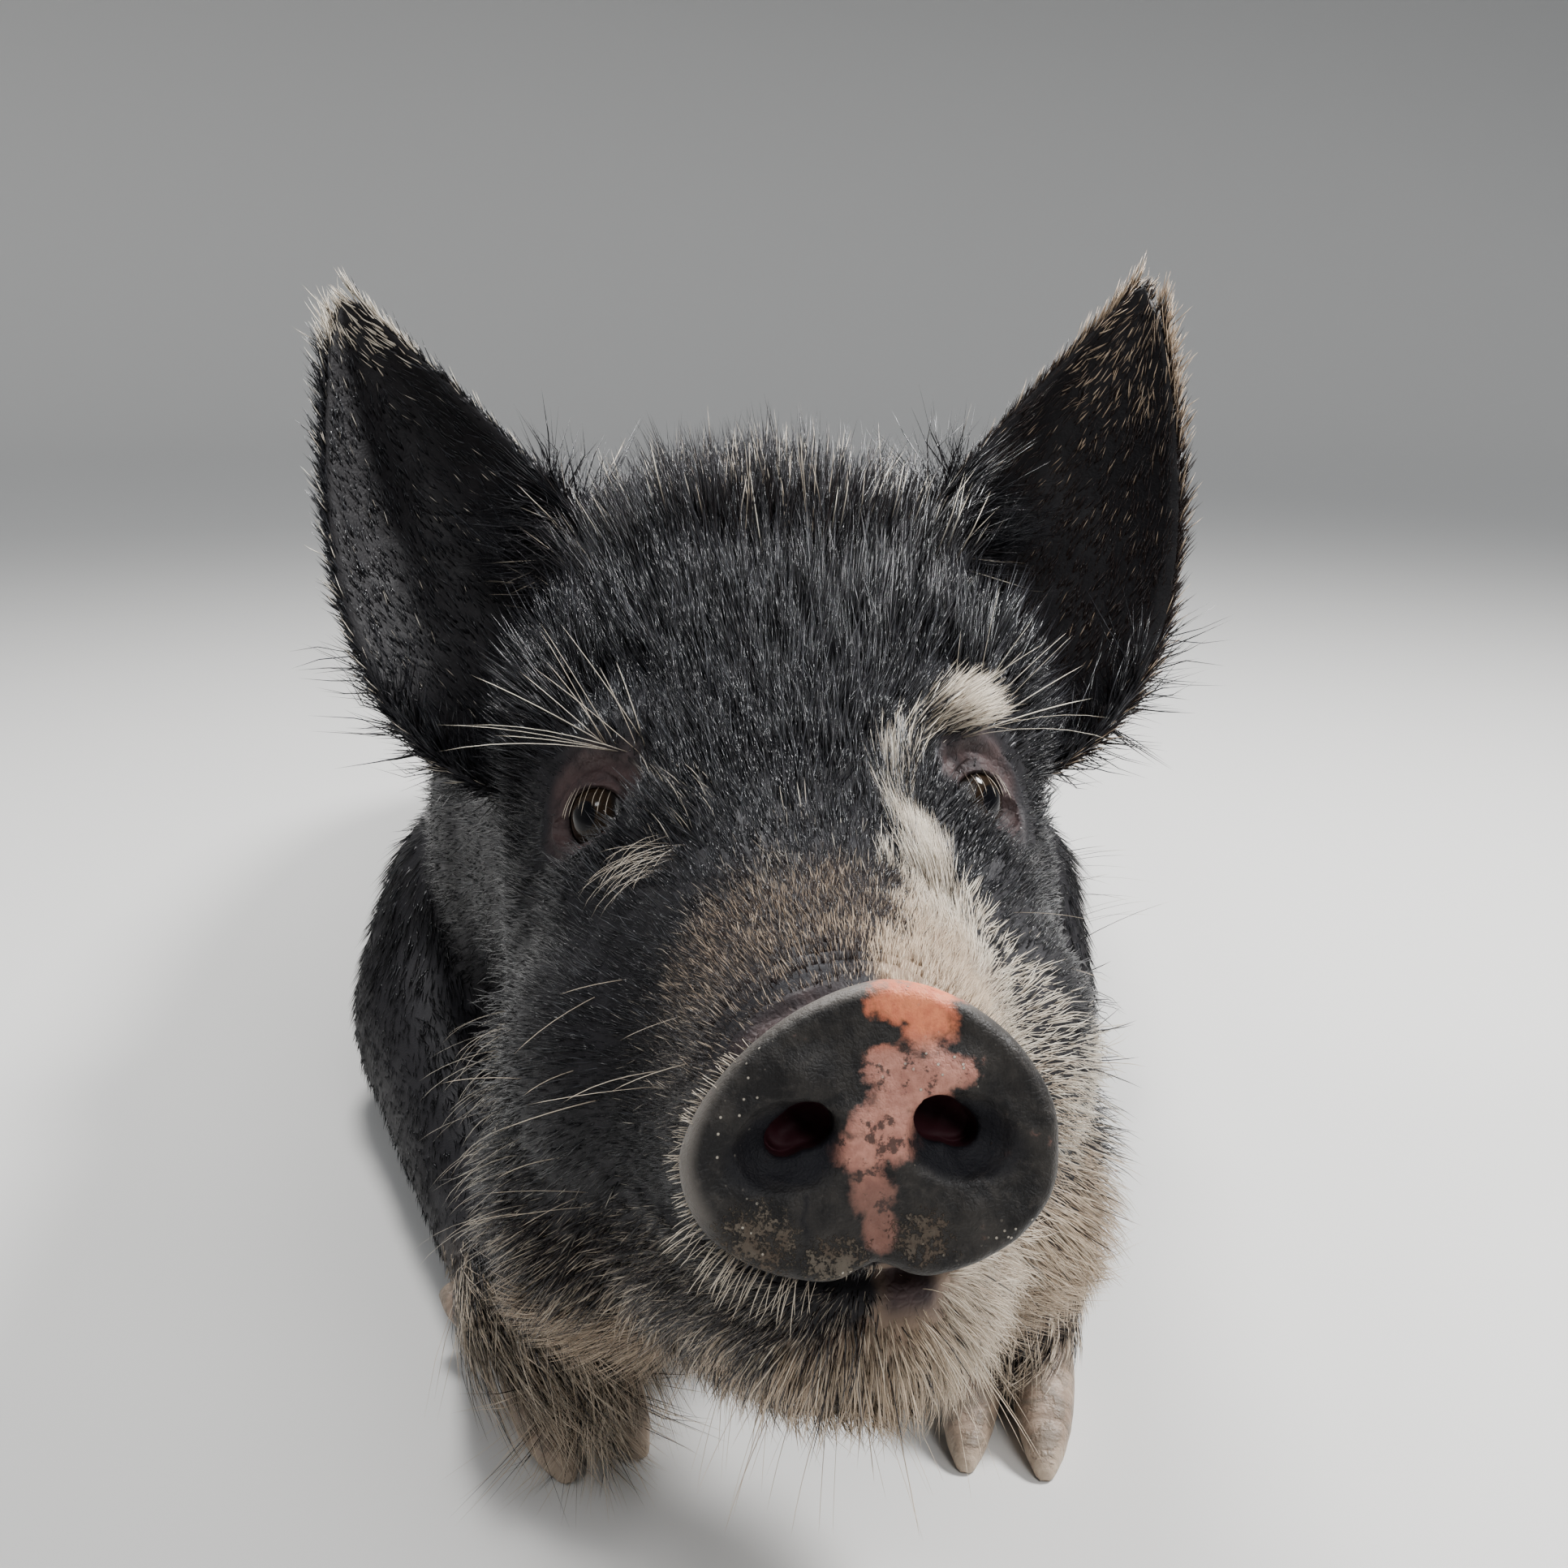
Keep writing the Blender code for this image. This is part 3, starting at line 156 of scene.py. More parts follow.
TAIL = (
    ((0.000, 0.505, 0.236), 0.0135),
    ((0.000, 0.535, 0.240), 0.0115),
    ((0.004, 0.560, 0.226), 0.0095),
    ((0.012, 0.570, 0.198), 0.0080),
    ((0.014, 0.566, 0.168), 0.0066),
    ((0.006, 0.560, 0.142), 0.0056),
    ((-0.004, 0.560, 0.118), 0.0046),
)
# Sculpting strokes in the head's frame, on both its sides: where, how far, and the move
STROKES = (
    ((0.060, -0.010, 0.000), 0.020, (-0.0050, 0.0045, 0.0)),
    ((0.040, -0.042, -0.016), 0.022, (-0.0030, 0.0015, -0.0020)),
    ((0.046, -0.090, -0.070), 0.026, (-0.0020, 0.0, 0.0)),
    ((0.055, -0.066, -0.106), 0.014, (-0.0025, 0.0, 0.0)),
    ((0.088, 0.078, -0.060), 0.030, (-0.0060, 0.0, 0.0)),
)
EYE_MIDDLE = Vector((0.0541, -0.0001, -0.0037))
EYE_AXIS = Vector((0.68, -0.73, 0.06))
EAR_INNER = ((0.052, 0.070, 0.094), (0.086, 0.068, 0.142), (0.120, 0.062, 0.166), (0.148, 0.056, 0.196))
EAR_OUTER = ((0.078, 0.052, 0.004), (0.158, 0.042, 0.016), (0.158, 0.052, 0.120), (0.148, 0.056, 0.196))
MOUTH_LINE = ((-0.176, -0.1135), (-0.150, -0.1140), (-0.120, -0.1120), (-0.095, -0.1070), (-0.078, -0.1000))
DISC_FRONT = -0.1765
DISC_MIDDLE = -0.0835
# How far the disc's top leans to the pig's left for each metre up
DISC_LEAN = 0.14

# White markings on the pig's left: the blaze that sweeps up the snout and over its eye
BLAZE = (
    (0.044, -0.086, -0.040),
    (0.038, -0.073, -0.026),
    (0.035, -0.056, -0.009),
    (0.033, -0.044, 0.006),
    (0.034, -0.035, 0.016),
    (0.041, -0.028, 0.023),
    (0.050, -0.020, 0.026),
)


def mirrored_route(route):
    return tuple(((-point[0], point[1], point[2]), radius) for point, radius in route)


LEGS = (
    FORELEG_LEFT,
    FORELEG_RIGHT,
    THIGH_LEFT,
    HINDLEG_LEFT,
    mirrored_route(THIGH_LEFT),
    mirrored_route(HINDLEG_LEFT),
)
FEET = (FORELEG_LEFT, FORELEG_RIGHT, HINDLEG_LEFT, mirrored_route(HINDLEG_LEFT))


def frame_shift():
    """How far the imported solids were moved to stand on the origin, read from the left eye."""
    low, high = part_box("eye_left")
    return (Vector(low) + Vector(high)) / 2 - HEAD_PLACE @ EYE_MIDDLE


# The same shift, for mathutils and for arrays
SHIFT = frame_shift()
OFFSET = np.array(SHIFT)


# Plain helpers


def smooth(value, low, high):
    t = np.clip((value - low) / (high - low), 0.0, 1.0)
    return t * t * (3 - 2 * t)


def fade(value, low, high):
    return 1 - smooth(value, low, high)


def same(value):
    """A hair's length or lift that is the same at every root."""
    return lambda points: value + 0 * points[:, 0]


def unit(vectors):
    return vectors / np.maximum(np.linalg.norm(vectors, axis=-1, keepdims=True), 1e-9)


def waves(points, size, seed):
    """A smooth random field of about -1 to 1, with bumps of a given size."""
    draw = np.random.default_rng(seed)
    total = np.zeros(len(points))
    for _ in range(8):
        direction = unit(draw.normal(size=3)) * 2 * math.pi / size * draw.uniform(0.6, 1.5)
        total += np.sin(points @ direction + draw.uniform(0, 2 * math.pi))
    return total / 3.2


def beside(points, a, b):
    """How far along a straight length places are, as a share of it, and how far off it."""
    along = b - a
    t = np.clip((points - a) @ along / (along @ along), 0, 1)
    return t, np.linalg.norm(points - a - t[:, None] * along, axis=1)


def near_line(points, line):
    """How far places are from a line of straight lengths, and the line's direction beside them."""
    best = np.full(len(points), 9.0)
    way = np.zeros_like(points)
    corners = [np.array(corner) for corner in line]
    for a, b in zip(corners, corners[1:]):
        _, off = beside(points, a, b)
        nearer = off < best
        best[nearer] = off[nearer]
        way[nearer] = unit(b - a)
    return best, way


def off_line(points, line):
    return near_line(points, line)[0]


def in_head(points):
    """Places of the body given in the head's own frame."""
    return (points - HEAD_SPOT) @ HEAD_TURN


def turned_out(vectors):
    """Directions in the head's frame given in that of the body."""
    return vectors @ HEAD_TURN.T


def off_eye(head):
    """How far places are from the nearer eye's middle, and the way to them from it."""
    side = np.where(head[:, 0] > 0, 1.0, -1.0)
    away = head - np.outer(side, (EYE_MIDDLE.x, 0, 0)) - (0, EYE_MIDDLE.y, EYE_MIDDLE.z)
    return np.linalg.norm(away, axis=1), away


def smooth_stations(stations, steps):
    """Catmull-Rom values between rows of numbers, with both ends kept."""
    rows = np.array(stations, float)
    rows = np.vstack([2 * rows[0] - rows[1], rows, 2 * rows[-1] - rows[-2]])
    out = []
    for k in range(len(rows) - 3):
        before, start, end, after = rows[k : k + 4]
        for t in np.arange(steps) / steps:
            bend = (end - before) * t + (2 * before - 5 * start + 4 * end - after) * t**2
            out.append(0.5 * (2 * start + bend + (3 * start - before - 3 * end + after) * t**3))
    out.append(rows[-2])
    return np.array(out)


def signed_power(value, power):
    return math.copysign(abs(value) ** power, value)


def egg_ring(half, up, down, round_top, round_bottom, count):
    """A closed outline in X and Z, wider or squarer above than below if told so."""
    points = []
    for k in range(count):
        turn = 2 * math.pi * k / count
        height, roundness = (up, round_top) if math.sin(turn) > 0 else (down, round_bottom)
        across, aloft = (signed_power(part, 2 / roundness) for part in (math.cos(turn), math.sin(turn)))
        points.append((half * across, height * aloft))
    return points


def section_rings(sections, count, place):
    rings = []
    for row in smooth_stations(sections, 3):
        cut = Section(*row)
        outline = egg_ring(
            cut.half, cut.top - cut.widest, cut.widest - cut.bottom, cut.round_top, cut.round_bottom, count
        )
        rings.append([place @ Vector((cut.x + x, cut.y, cut.widest + z)) for x, z in outline])
    return rings


def tube_rings(route, sides, steps):
    """Rings round a route of changing radius, with rounded ends."""
    rows = smooth_stations([(*point, radius) for point, radius in route], steps)
    centres = [Vector(row[:3]) for row in rows]
    radii = [row[3] for row in rows]
    ahead = [(b - a).normalized() for a, b in zip(centres, centres[1:])]
    ahead.append(ahead[-1])
    rounding = [(r, math.sqrt(1 - r * r)) for r in (0.94, 0.70, 0.30)]
    stations = [(centres[0] - ahead[0] * radii[0] * r, ahead[0], radii[0] * s) for r, s in rounding]
    stations += list(zip(centres, ahead, radii))
    last, way, radius = centres[-1], ahead[-1], radii[-1]
    stations += [(last + way * radius * r, way, radius * s) for r, s in rounding[::-1]]
    side = ahead[0].orthogonal().normalized()
    rings = []
    for centre, along, radius in stations:
        side = (side - along * side.dot(along)).normalized()
        other = along.cross(side)
        turns = [2 * math.pi * k / sides for k in range(sides)]
        rings.append([centre + (side * math.cos(turn) + other * math.sin(turn)) * radius for turn in turns])
    return rings


# Modelling by hand


def pick(piece):
    """Makes one object the only selected and active one."""
    bpy.ops.object.select_all(action="DESELECT")
    piece.select_set(True)
    bpy.context.view_layer.objects.active = piece


@contextmanager
def editing(piece, kind=None):
    """Edit mode with all of one piece picked, by vertices, edges or faces if told so."""
    pick(piece)
    bpy.ops.object.mode_set(mode="EDIT")
    if kind:
        bpy.ops.mesh.select_mode(type=kind)
    bpy.ops.mesh.select_all(action="SELECT")
    yield
    bpy.ops.object.mode_set(mode="OBJECT")


def start_piece(name):
    piece = bpy.context.object
    piece.name = name
    piece.data.name = name
    return piece


def chosen(bm):
    return [vertex for vertex in bm.verts if vertex.select]


def set_ring(piece, before, ring):
    """Moves the picked ring from the places of one outline to those of the next."""
    bm = bmesh.from_edit_mesh(piece.data)
    verts = chosen(bm)
    now = np.array([vertex.co for vertex in verts])
    then = np.array(before)
    order = ((now[:, None] - then[None]) ** 2).sum(axis=2).argmin(axis=1)
    for vertex, k in zip(verts, order):
        vertex.co = ring[k]
    bmesh.update_edit_mesh(piece.data)


def close_ring(piece, ring):
    """Closes an open ring with a fan, drawn in to its middle."""
    bpy.ops.mesh.select_all(action="DESELECT")
    bm = bmesh.from_edit_mesh(piece.data)
    bm.verts.ensure_lookup_table()
    edge = [vertex for vertex in bm.verts if any(side.is_boundary for side in vertex.link_edges)]
    places = np.array([vertex.co for vertex in edge])
    middle = np.array(sum((Vector(point) for point in ring), Vector()) / len(ring))
    wide = max((Vector(point) - Vector(middle)).length for point in ring) * 1.001
    for vertex, off in zip(edge, np.linalg.norm(places - middle, axis=1)):
        near = min((vertex.co - Vector(point)).length for point in ring)
        vertex.select = bool(off <= wide and near < 1e-5)
    bm.select_flush_mode()
    bm.select_mode = {"VERT"}
    bmesh.update_edit_mesh(piece.data)
    bpy.ops.mesh.extrude_edges_move()
    bpy.ops.mesh.merge(type="CENTER")


def draw_rings(name, rings):
    """A closed body: a circle is added, extruded and set to each outline in turn."""
    bpy.ops.object.select_all(action="DESELECT")
    bpy.ops.mesh.primitive_circle_add(vertices=len(rings[0]), radius=1.0, fill_type="NOTHING")
    piece = start_piece(name)
    with editing(piece, "VERT"):
        bm = bmesh.from_edit_mesh(piece.data)
        bm.verts.ensure_lookup_table()
        for vertex, point in zip(bm.verts, rings[0]):
            vertex.co = point
        bmesh.update_edit_mesh(piece.data)
        for before, ring in zip(rings, rings[1:]):
            bpy.ops.mesh.extrude_edges_move()
            set_ring(piece, before, ring)
        close_ring(piece, rings[0])
        close_ring(piece, rings[-1])
        bpy.ops.mesh.select_all(action="SELECT")
        bpy.ops.mesh.normals_make_consistent(inside=False)
    return piece


def add_ball(name, radii, place, segments=32):
    """A rounded mass from a sphere that is set, turned and stretched."""
    bpy.ops.object.select_all(action="DESELECT")
    bpy.ops.mesh.primitive_uv_sphere_add(segments=segments, ring_count=segments // 2, radius=1.0)
    piece = start_piece(name)
    piece.matrix_world = place @ Matrix.Diagonal((*radii, 1.0))
    bpy.ops.object.transform_apply(location=True, rotation=True, scale=True)
    face_out(piece)
    return piece


def face_out(piece):
    with editing(piece):
        bpy.ops.mesh.normals_make_consistent(inside=False)


def apply_change(piece, kind, **settings):
    """Adds a modifier with its settings and applies it."""
    pick(piece)
    change = piece.modifiers.new(kind.lower(), kind)
    for name, value in settings.items():
        setattr(change, name, value)
    bpy.ops.object.modifier_apply(modifier=change.name)


def joined(pieces, name):
    bpy.ops.object.select_all(action="DESELECT")
    for piece in pieces:
        piece.select_set(True)
    bpy.context.view_layer.objects.active = pieces[0]
    bpy.ops.object.join()
    return start_piece(name)


def combine(piece, tool, operation):
    """Joins or cuts a piece with a closed tool, and removes the tool."""
    whole = piece.data.copy()
    for solver in ("MANIFOLD", "EXACT"):
        apply_change(piece, "BOOLEAN", operation=operation, solver=solver, object=tool)
        if len(piece.data.polygons) > 100 and len(piece.data.vertices) != len(whole.vertices):
            break
        piece.data = whole.copy()
    else:
        raise RuntimeError(f"{tool.name} can't be combined with {piece.name}")
    bpy.data.objects.remove(tool)
    keep_order(piece)


def keep_order(piece):
    """Sorts a piece's points and faces from one far place, because they come in another order in each run."""
    bpy.context.scene.cursor.location = (3.17, -7.13, 5.29)
    with editing(piece):
        bpy.ops.mesh.sort_elements(type="CURSOR_DISTANCE", elements={"VERT", "EDGE", "FACE"})
    bpy.context.scene.cursor.location = (0.0, 0.0, 0.0)


def read_points(mesh):
    points = np.empty(len(mesh.vertices) * 3)
    mesh.vertices.foreach_get("co", points)
    return points.reshape(-1, 3)


def write_points(mesh, points):
    mesh.vertices.foreach_set("co", points.ravel())
    mesh.update()


def read_normals(mesh):
    normals = np.empty(len(mesh.vertices) * 3)
    mesh.vertex_normals.foreach_get("vector", normals)
    return normals.reshape(-1, 3)


def read_unwrap(mesh):
    spots = np.empty(len(mesh.loops) * 2)
    mesh.uv_layers["OFBake"].data.foreach_get("uv", spots)
    return spots.reshape(-1, 2)


def mark(mesh, name, values):
    """Keeps a value for each vertex under a name that materials read."""
    layer = mesh.attributes.new(name, "FLOAT", "POINT")
    layer.data.foreach_set("value", np.asarray(values, np.float32))


def round_off(piece):
    pick(piece)
    bpy.ops.object.shade_smooth()


def settle(piece, slot, *nodes):
    """Sets a finished piece down where the solids are, under the root, and hides the solids it stands for;
    its slot is not used.
    """
    piece.data.transform(Matrix.Translation(SHIFT))
    piece.data.update()
    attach(piece, "root")
    if nodes:
        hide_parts(*nodes)


# Markings and the lie of the coat


def markings(points):
    """The shares of white hair and of pale-tipped hair at places of the body, and their warmth; over the
    snout and its bridge the pale tips are partly painted highlight on sunlit tips.
    """
    head = in_head(points)
    x, y, z = head.T
    edge = waves(head, 0.030, 3) * 0.005 + waves(head, 0.011, 4) * 0.003
    over = smooth(z, -0.098, -0.070)
    ring = fade(y + edge, -0.138, -0.108) * over * smooth(x + edge + 0.15 * (y + 0.12), -0.010, 0.014)
    left = smooth(x + edge, 0.014, 0.028) * fade(y + 2 * edge, -0.078, -0.048)
    low_left = smooth(x + edge, 0.030, 0.045) * fade(y + edge, -0.040, 0.000) * smooth(-z, 0.060, 0.080)
    blaze = 0.60 * fade(off_line(head, BLAZE) + edge * 0.5, 0.0050, 0.0125)
    right = fade(x + edge, -0.022, 0.030)
    jaw_height = -0.106 - 0.030 * right + 0.012 * fade(y, -0.11, -0.09)
    jaw = smooth(jaw_height - z + edge, 0.0, 0.012) * fade(y, 0.06, 0.12)
    near = fade(y, 0.07, 0.14)
    foot = foot_end(points)
    tail_end = smooth(points[:, 1], 0.545, 0.552) * fade(points[:, 2], 0.130, 0.150)
    white = np.maximum.reduce([ring, left, low_left * 0.8, blaze, jaw * (0.80 - 0.22 * right)]) * near
    white = np.maximum.reduce([white, foot * 0.36, tail_end * 0.9])
    on_snout = np.linalg.norm((head - (-0.020, -0.118, -0.040)) / (0.034, 0.046, 0.034), axis=1)
    snout = fade(on_snout + edge * 14, 0.35, 1.25)
    bridge = fade(y + 1.6 * edge, -0.112, -0.060) * over * smooth(x, -0.06, -0.01)
    jowl = smooth(np.abs(x), 0.066, 0.084) * smooth(-z, 0.050, 0.085)
    jowl = jowl * smooth(y, -0.04, 0.0) * fade(y, 0.05, 0.09)
    chin = smooth(-z, 0.100, 0.124) * fade(y, -0.02, 0.04)
    # Pale tips over the snout and its bridge are partly pale-tipped hair and partly painted highlight on
    # sunlit tips
    tipped = np.maximum.reduce([snout * 0.75, bridge * 0.6, jowl * 0.7, chin * 0.8, foot, tail_end])
    cream = ring * fade(x, 0.028, 0.050)
    warm = np.maximum.reduce([cream, snout, bridge, 0.8 * jaw * (1 - left), 0.55 * chin, 0.65 * foot])
    return tuple(np.clip(share, 0, 1) for share in (white, tipped, warm))


def foot_end(points):
    """The pale lower part of each foot."""
    edge = waves(points, 0.03, 5) * 0.02
    x, y, z = points.T
    fore = fade(y + edge, -0.262, -0.225) * fade(z, 0.065, 0.085) * (in_head(points)[:, 2] < -0.165)
    hind = fade(y + edge, 0.300, 0.345) * smooth(np.abs(x), 0.160, 0.172)
    return np.maximum(fore, hind * fade(z, 0.060, 0.075) * smooth(y, 0.18, 0.22))


def bare_share(points):
    """Where the skin shows bare: round the eyes, behind the disc and on the lips."""
    head = in_head(points)
    x, y, z = head.T
    eye, away = off_eye(head)
    side = np.sign(x)
    inner = np.maximum(-away[:, 0] * side, 0)
    lids = fade(eye - 0.32 * inner - 0.20 * np.abs(away[:, 2]), 0.0180, 0.0235)
    below = away - np.stack([0.000 * side, -0.012 + 0 * x, -0.017 + 0 * x], axis=1)
    under = 0.75 * fade(np.linalg.norm(below, axis=1), 0.008, 0.016)
    fold = fade(y, -0.156, -0.150) * smooth(z, -0.070, -0.058) * fade(x, -0.006, 0.004)
    end = fade(y, -0.1590, -0.1570)
    lip = fade(np.abs(x - 0.010), 0.004, 0.009) * fade(y, -0.140, -0.130) * smooth(-z, 0.108, 0.113)
    lip = lip * fade(-z, 0.119, 0.127)
    return np.clip(np.maximum.reduce([lids, under, fold, end, lip]), 0, 1)


def covered(points):
    """The share of the coat that grows: less where skin is bare, none on the lip behind the disc."""
    x, y, z = in_head(points).T
    lip = fade(y, -0.152, -0.147) * smooth(-z, 0.096, 0.101) * fade(-z, 0.120, 0.124)
    return (1 - 0.97 * bare_share(points)) * (1 - lip * fade(np.abs(x - 0.010), 0.005, 0.010))


def leg_lie(points):
    """The direction down the nearest leg, and how far a place belongs to one."""
    total = np.zeros_like(points)
    share = np.zeros(len(points))
    for route in LEGS:
        rows = smooth_stations([(*point, radius) for point, radius in route], 2)
        for one, two in zip(rows, rows[1:]):
            t, off = beside(points, one[:3], two[:3])
            weight = fade(off / (one[3] + (two[3] - one[3]) * t), 1.05, 1.5)
            total += unit(two[:3] - one[:3]) * weight[:, None]
            share = np.maximum(share, weight)
    return unit(total), share


def lie_of_coat(points, normals):
    """Which way the coat lies at places of the body, along the skin."""
    head = in_head(points)
    x, y, z = head.T
    from_snout = unit(head - np.array((0.003, -0.182, -0.080)))
    from_snout[:, 2] -= 0.35 * smooth(-z, 0.02, 0.10) * smooth(y, -0.10, 0.0)
    from_snout[:, 0] *= 1 - 0.35 * smooth(z, 0.0, 0.05)
    distance, away = off_eye(head)
    part = (2.2 * fade(distance, 0.018, 0.034))[:, None] * unit(away)
    jaw = smooth(-z, 0.125, 0.145)[:, None]
    down = np.stack([x * 9, 0 * x - 0.35, 0 * x - 0.55], axis=1)
    off, stream = near_line(head, BLAZE)
    sweep = fade(off, 0.008, 0.020)[:, None]
    head_lie = unit((from_snout + part) * (1 - jaw) + down * jaw)
    head_lie = turned_out(unit(head_lie * (1 - sweep) + stream * sweep))
    outward = 0.25 * np.sign(points[:, 0]) * smooth(points[:, 2], 0.15, 0.3)
    body_lie = np.stack([outward, 1 + 0 * x, -0.35 * smooth(np.abs(points[:, 0]), 0.01, 0.08)], axis=1)
    share = smooth(y, 0.07, 0.16)[:, None]
    lie = head_lie * (1 - share) + unit(body_lie) * share
    leg, weight = leg_lie(points)
    weight = (weight * smooth(y, 0.06, 0.12) * fade(points[:, 2], 0.10, 0.17))[:, None]
    lie = lie * (1 - weight) + leg * weight
    return unit(lie - normals * (lie * normals).sum(axis=1, keepdims=True))


# Bristles

# How deep a root sits in the skin, and how far every hair stays above the floor
ROOT_DEPTH = 0.0012
FLOOR_GAP = 0.0012
# The side of a hair's patch on the skin's unwrap
PATCH = 0.003


class Ground:
    """The skin's triangles, on which roots are scattered."""

    def __init__(self, skin):
        mesh = skin.data
        mesh.calc_loop_triangles()
        count = len(mesh.loop_triangles)
        corners = np.empty(count * 3, np.int32)
        loops = np.empty(count * 3, np.int32)
        mesh.loop_triangles.foreach_get("vertices", corners)
        mesh.loop_triangles.foreach_get("loops", loops)
        self.corners = corners.reshape(-1, 3)
        self.uv = read_unwrap(mesh)[loops].reshape(-1, 3, 2)
        self.points = read_points(mesh) - OFFSET
        self.normals = read_normals(mesh)
        a, b, c = (self.points[self.corners[:, k]] for k in range(3))
        self.areas = np.linalg.norm(np.cross(b - a, c - a), axis=1) / 2
        self.middles = (a + b + c) / 3
        self.faces_out = self.normals[self.corners].mean(axis=1)

    def scatter(self, density, seed):
        """Roots at a density for each triangle, with their normals and places on the unwrap."""
        draw = np.random.default_rng(seed)
        expected = self.areas * np.maximum(density, 0)
        total = int(expected.sum())
        faces = draw.choice(len(expected), size=total, p=expected / expected.sum())
        u, v = draw.random(total), draw.random(total)
        over = u + v > 1
        u, v = np.where(over, 1 - u, u), np.where(over, 1 - v, v)
        shares = np.stack([1 - u - v, u, v], axis=1)[:, :, None]
        points = (self.points[self.corners[faces]] * shares).sum(axis=1)
        normals = unit((self.normals[self.corners[faces]] * shares).sum(axis=1))
        uv = (self.uv[faces] * shares).sum(axis=1)
        return points, normals, uv, draw


def clumped(roots, tips, size, pull, draw):
    """Draws the tips of neighbouring hairs together into small pointed clumps."""
    count = max(int(len(roots) / size), 1)
    heads = draw.choice(len(roots), size=count, replace=False)
    tree = KDTree(count)
    for k, root in enumerate(roots[heads]):
        tree.insert(root, k)
    tree.balance()
    nearest = heads[np.array([tree.find(root)[1] for root in roots])]
    return tips + (tips[nearest] - tips) * pull[:, None]


def hair_mesh(name, roots, normals, uv, mids, tips, width, marks, steps, slot):
    """A piece of thin closed three-sided hairs, each bending from its root by a middle point to its tip."""
    count = len(roots)
    roots = roots - normals * ROOT_DEPTH
    rings = []
    for k in range(steps):
        t = k / steps
        centre = roots * (1 - t) ** 2 + mids * (2 * t * (1 - t)) + tips * t**2
        along = unit((mids - roots) * (1 - t) + (tips - mids) * t)
        side = unit(np.cross(along, normals))
        rise = np.cross(side, along)
        half = (width * (1 - 0.55 * t) / 2)[:, None]
        ring = [centre + side * half, centre - side * half, centre + rise * half * 0.9]
        rings.append(np.stack(ring, axis=1))
    points = np.concatenate([*rings, tips[:, None]], axis=1)
    points[:, :, 2] = np.maximum(points[:, :, 2], FLOOR_GAP)
    each = 3 * steps + 1
    one = [(0, 1, 2)]
    for k in range(steps - 1):
        for a, b in ((0, 1), (1, 2), (2, 0)):
            low_a, low_b, top_a, top_b = 3 * k + a, 3 * k + b, 3 * k + 3 + a, 3 * k + 3 + b
            one += [(low_b, low_a, top_a), (low_b, top_a, top_b)]
    last = 3 * (steps - 1)
    one += [(last + b, last + a, each - 1) for a, b in ((0, 1), (1, 2), (2, 0))]
    one = np.array(one)
    triangles = (one[None] + (np.arange(count) * each)[:, None, None]).reshape(-1, 3)
    mesh = bpy.data.meshes.new(name)
    mesh.vertices.add(count * each)
    mesh.vertices.foreach_set("co", points.ravel())
    mesh.loops.add(triangles.size)
    mesh.loops.foreach_set("vertex_index", triangles.ravel().astype(np.int32))
    mesh.polygons.add(len(triangles))
    mesh.polygons.foreach_set("loop_start", np.arange(len(triangles), dtype=np.int32) * 3)
    layer = mesh.uv_layers.new(name="OFBake")
    along = np.append(np.repeat(np.arange(steps) / steps, 3), 1.0)
    across = np.append(np.tile((0.0, 1.0, 0.5), steps), 0.5)
    patch = np.stack([across - 0.5, along - 0.5], axis=1) * PATCH
    spots = (uv[:, None, :] + patch[None]).reshape(-1, 2)
    layer.data.foreach_set("uv", np.clip(spots, 0.0, 1.0)[triangles.ravel()].ravel())
    mesh.update(calc_edges=True)
    mesh.polygons.foreach_set("use_smooth", np.ones(len(triangles), bool))
    mark(mesh, "along", np.tile(along, count))
    for label, values in marks.items():
        mark(mesh, label, np.repeat(values, each))
    mesh.materials.append(bpy.data.materials["bristles"])
    piece = bpy.data.objects.new(name, mesh)
    bpy.context.scene.collection.objects.link(piece)
    settle(piece, slot)


def grow_coat(
    name, ground, density, length, width, lift, seed, steps=2, bend=0.55, ruffle=0.16, clump=5, pull=0.35,
    lie=lie_of_coat, marks_of=markings, slot="black_coat",
):
    """One piece of coat: hairs of a length, width and lift given for each root's place."""
    points, normals, uv, draw = ground.scatter(density, seed)
    count = len(points)
    way = lie(points, normals)
    side = np.cross(normals, way)
    stray = waves(points, 0.012, seed)[:, None] * ruffle + draw.normal(size=(count, 1)) * ruffle
    way = unit(way + side * stray)
    reach = length(points) * draw.uniform(0.60, 1.22, count)
    rise = np.clip(lift(points) * draw.uniform(0.55, 1.45, count), 0.03, 1.4)
    start = way * np.cos(rise)[:, None] + normals * np.sin(rise)[:, None]
    low = rise * (1 - bend)
    end = way * np.cos(low)[:, None] + normals * np.sin(low)[:, None]
    mids = points + start * (reach * 0.5)[:, None]
    tips = mids + end * (reach * 0.5)[:, None]
    if clump:
        tips = clumped(points, tips, clump, pull * draw.uniform(0.3, 1.0, count), draw)
    white, tipped, warm = marks_of(points)
    is_white = draw.random(count) < smooth(white, 0.05, 0.95)
    is_tipped = draw.random(count) < tipped
    white_share, tipped_share = draw.uniform(0.70, 1.0, count), draw.uniform(0.22, 0.48, count)
    marks = {
        "pale": np.where(is_white, white_share, np.where(is_tipped, tipped_share, 0.0)),
        "warm": np.clip(warm + draw.normal(0, 0.12, count), 0, 1),
        "tone": draw.random(count),
    }
    widths = width * draw.uniform(0.70, 1.25, count)
    hair_mesh(name, points, normals, uv, mids, tips, widths, marks, steps, slot)


# Materials


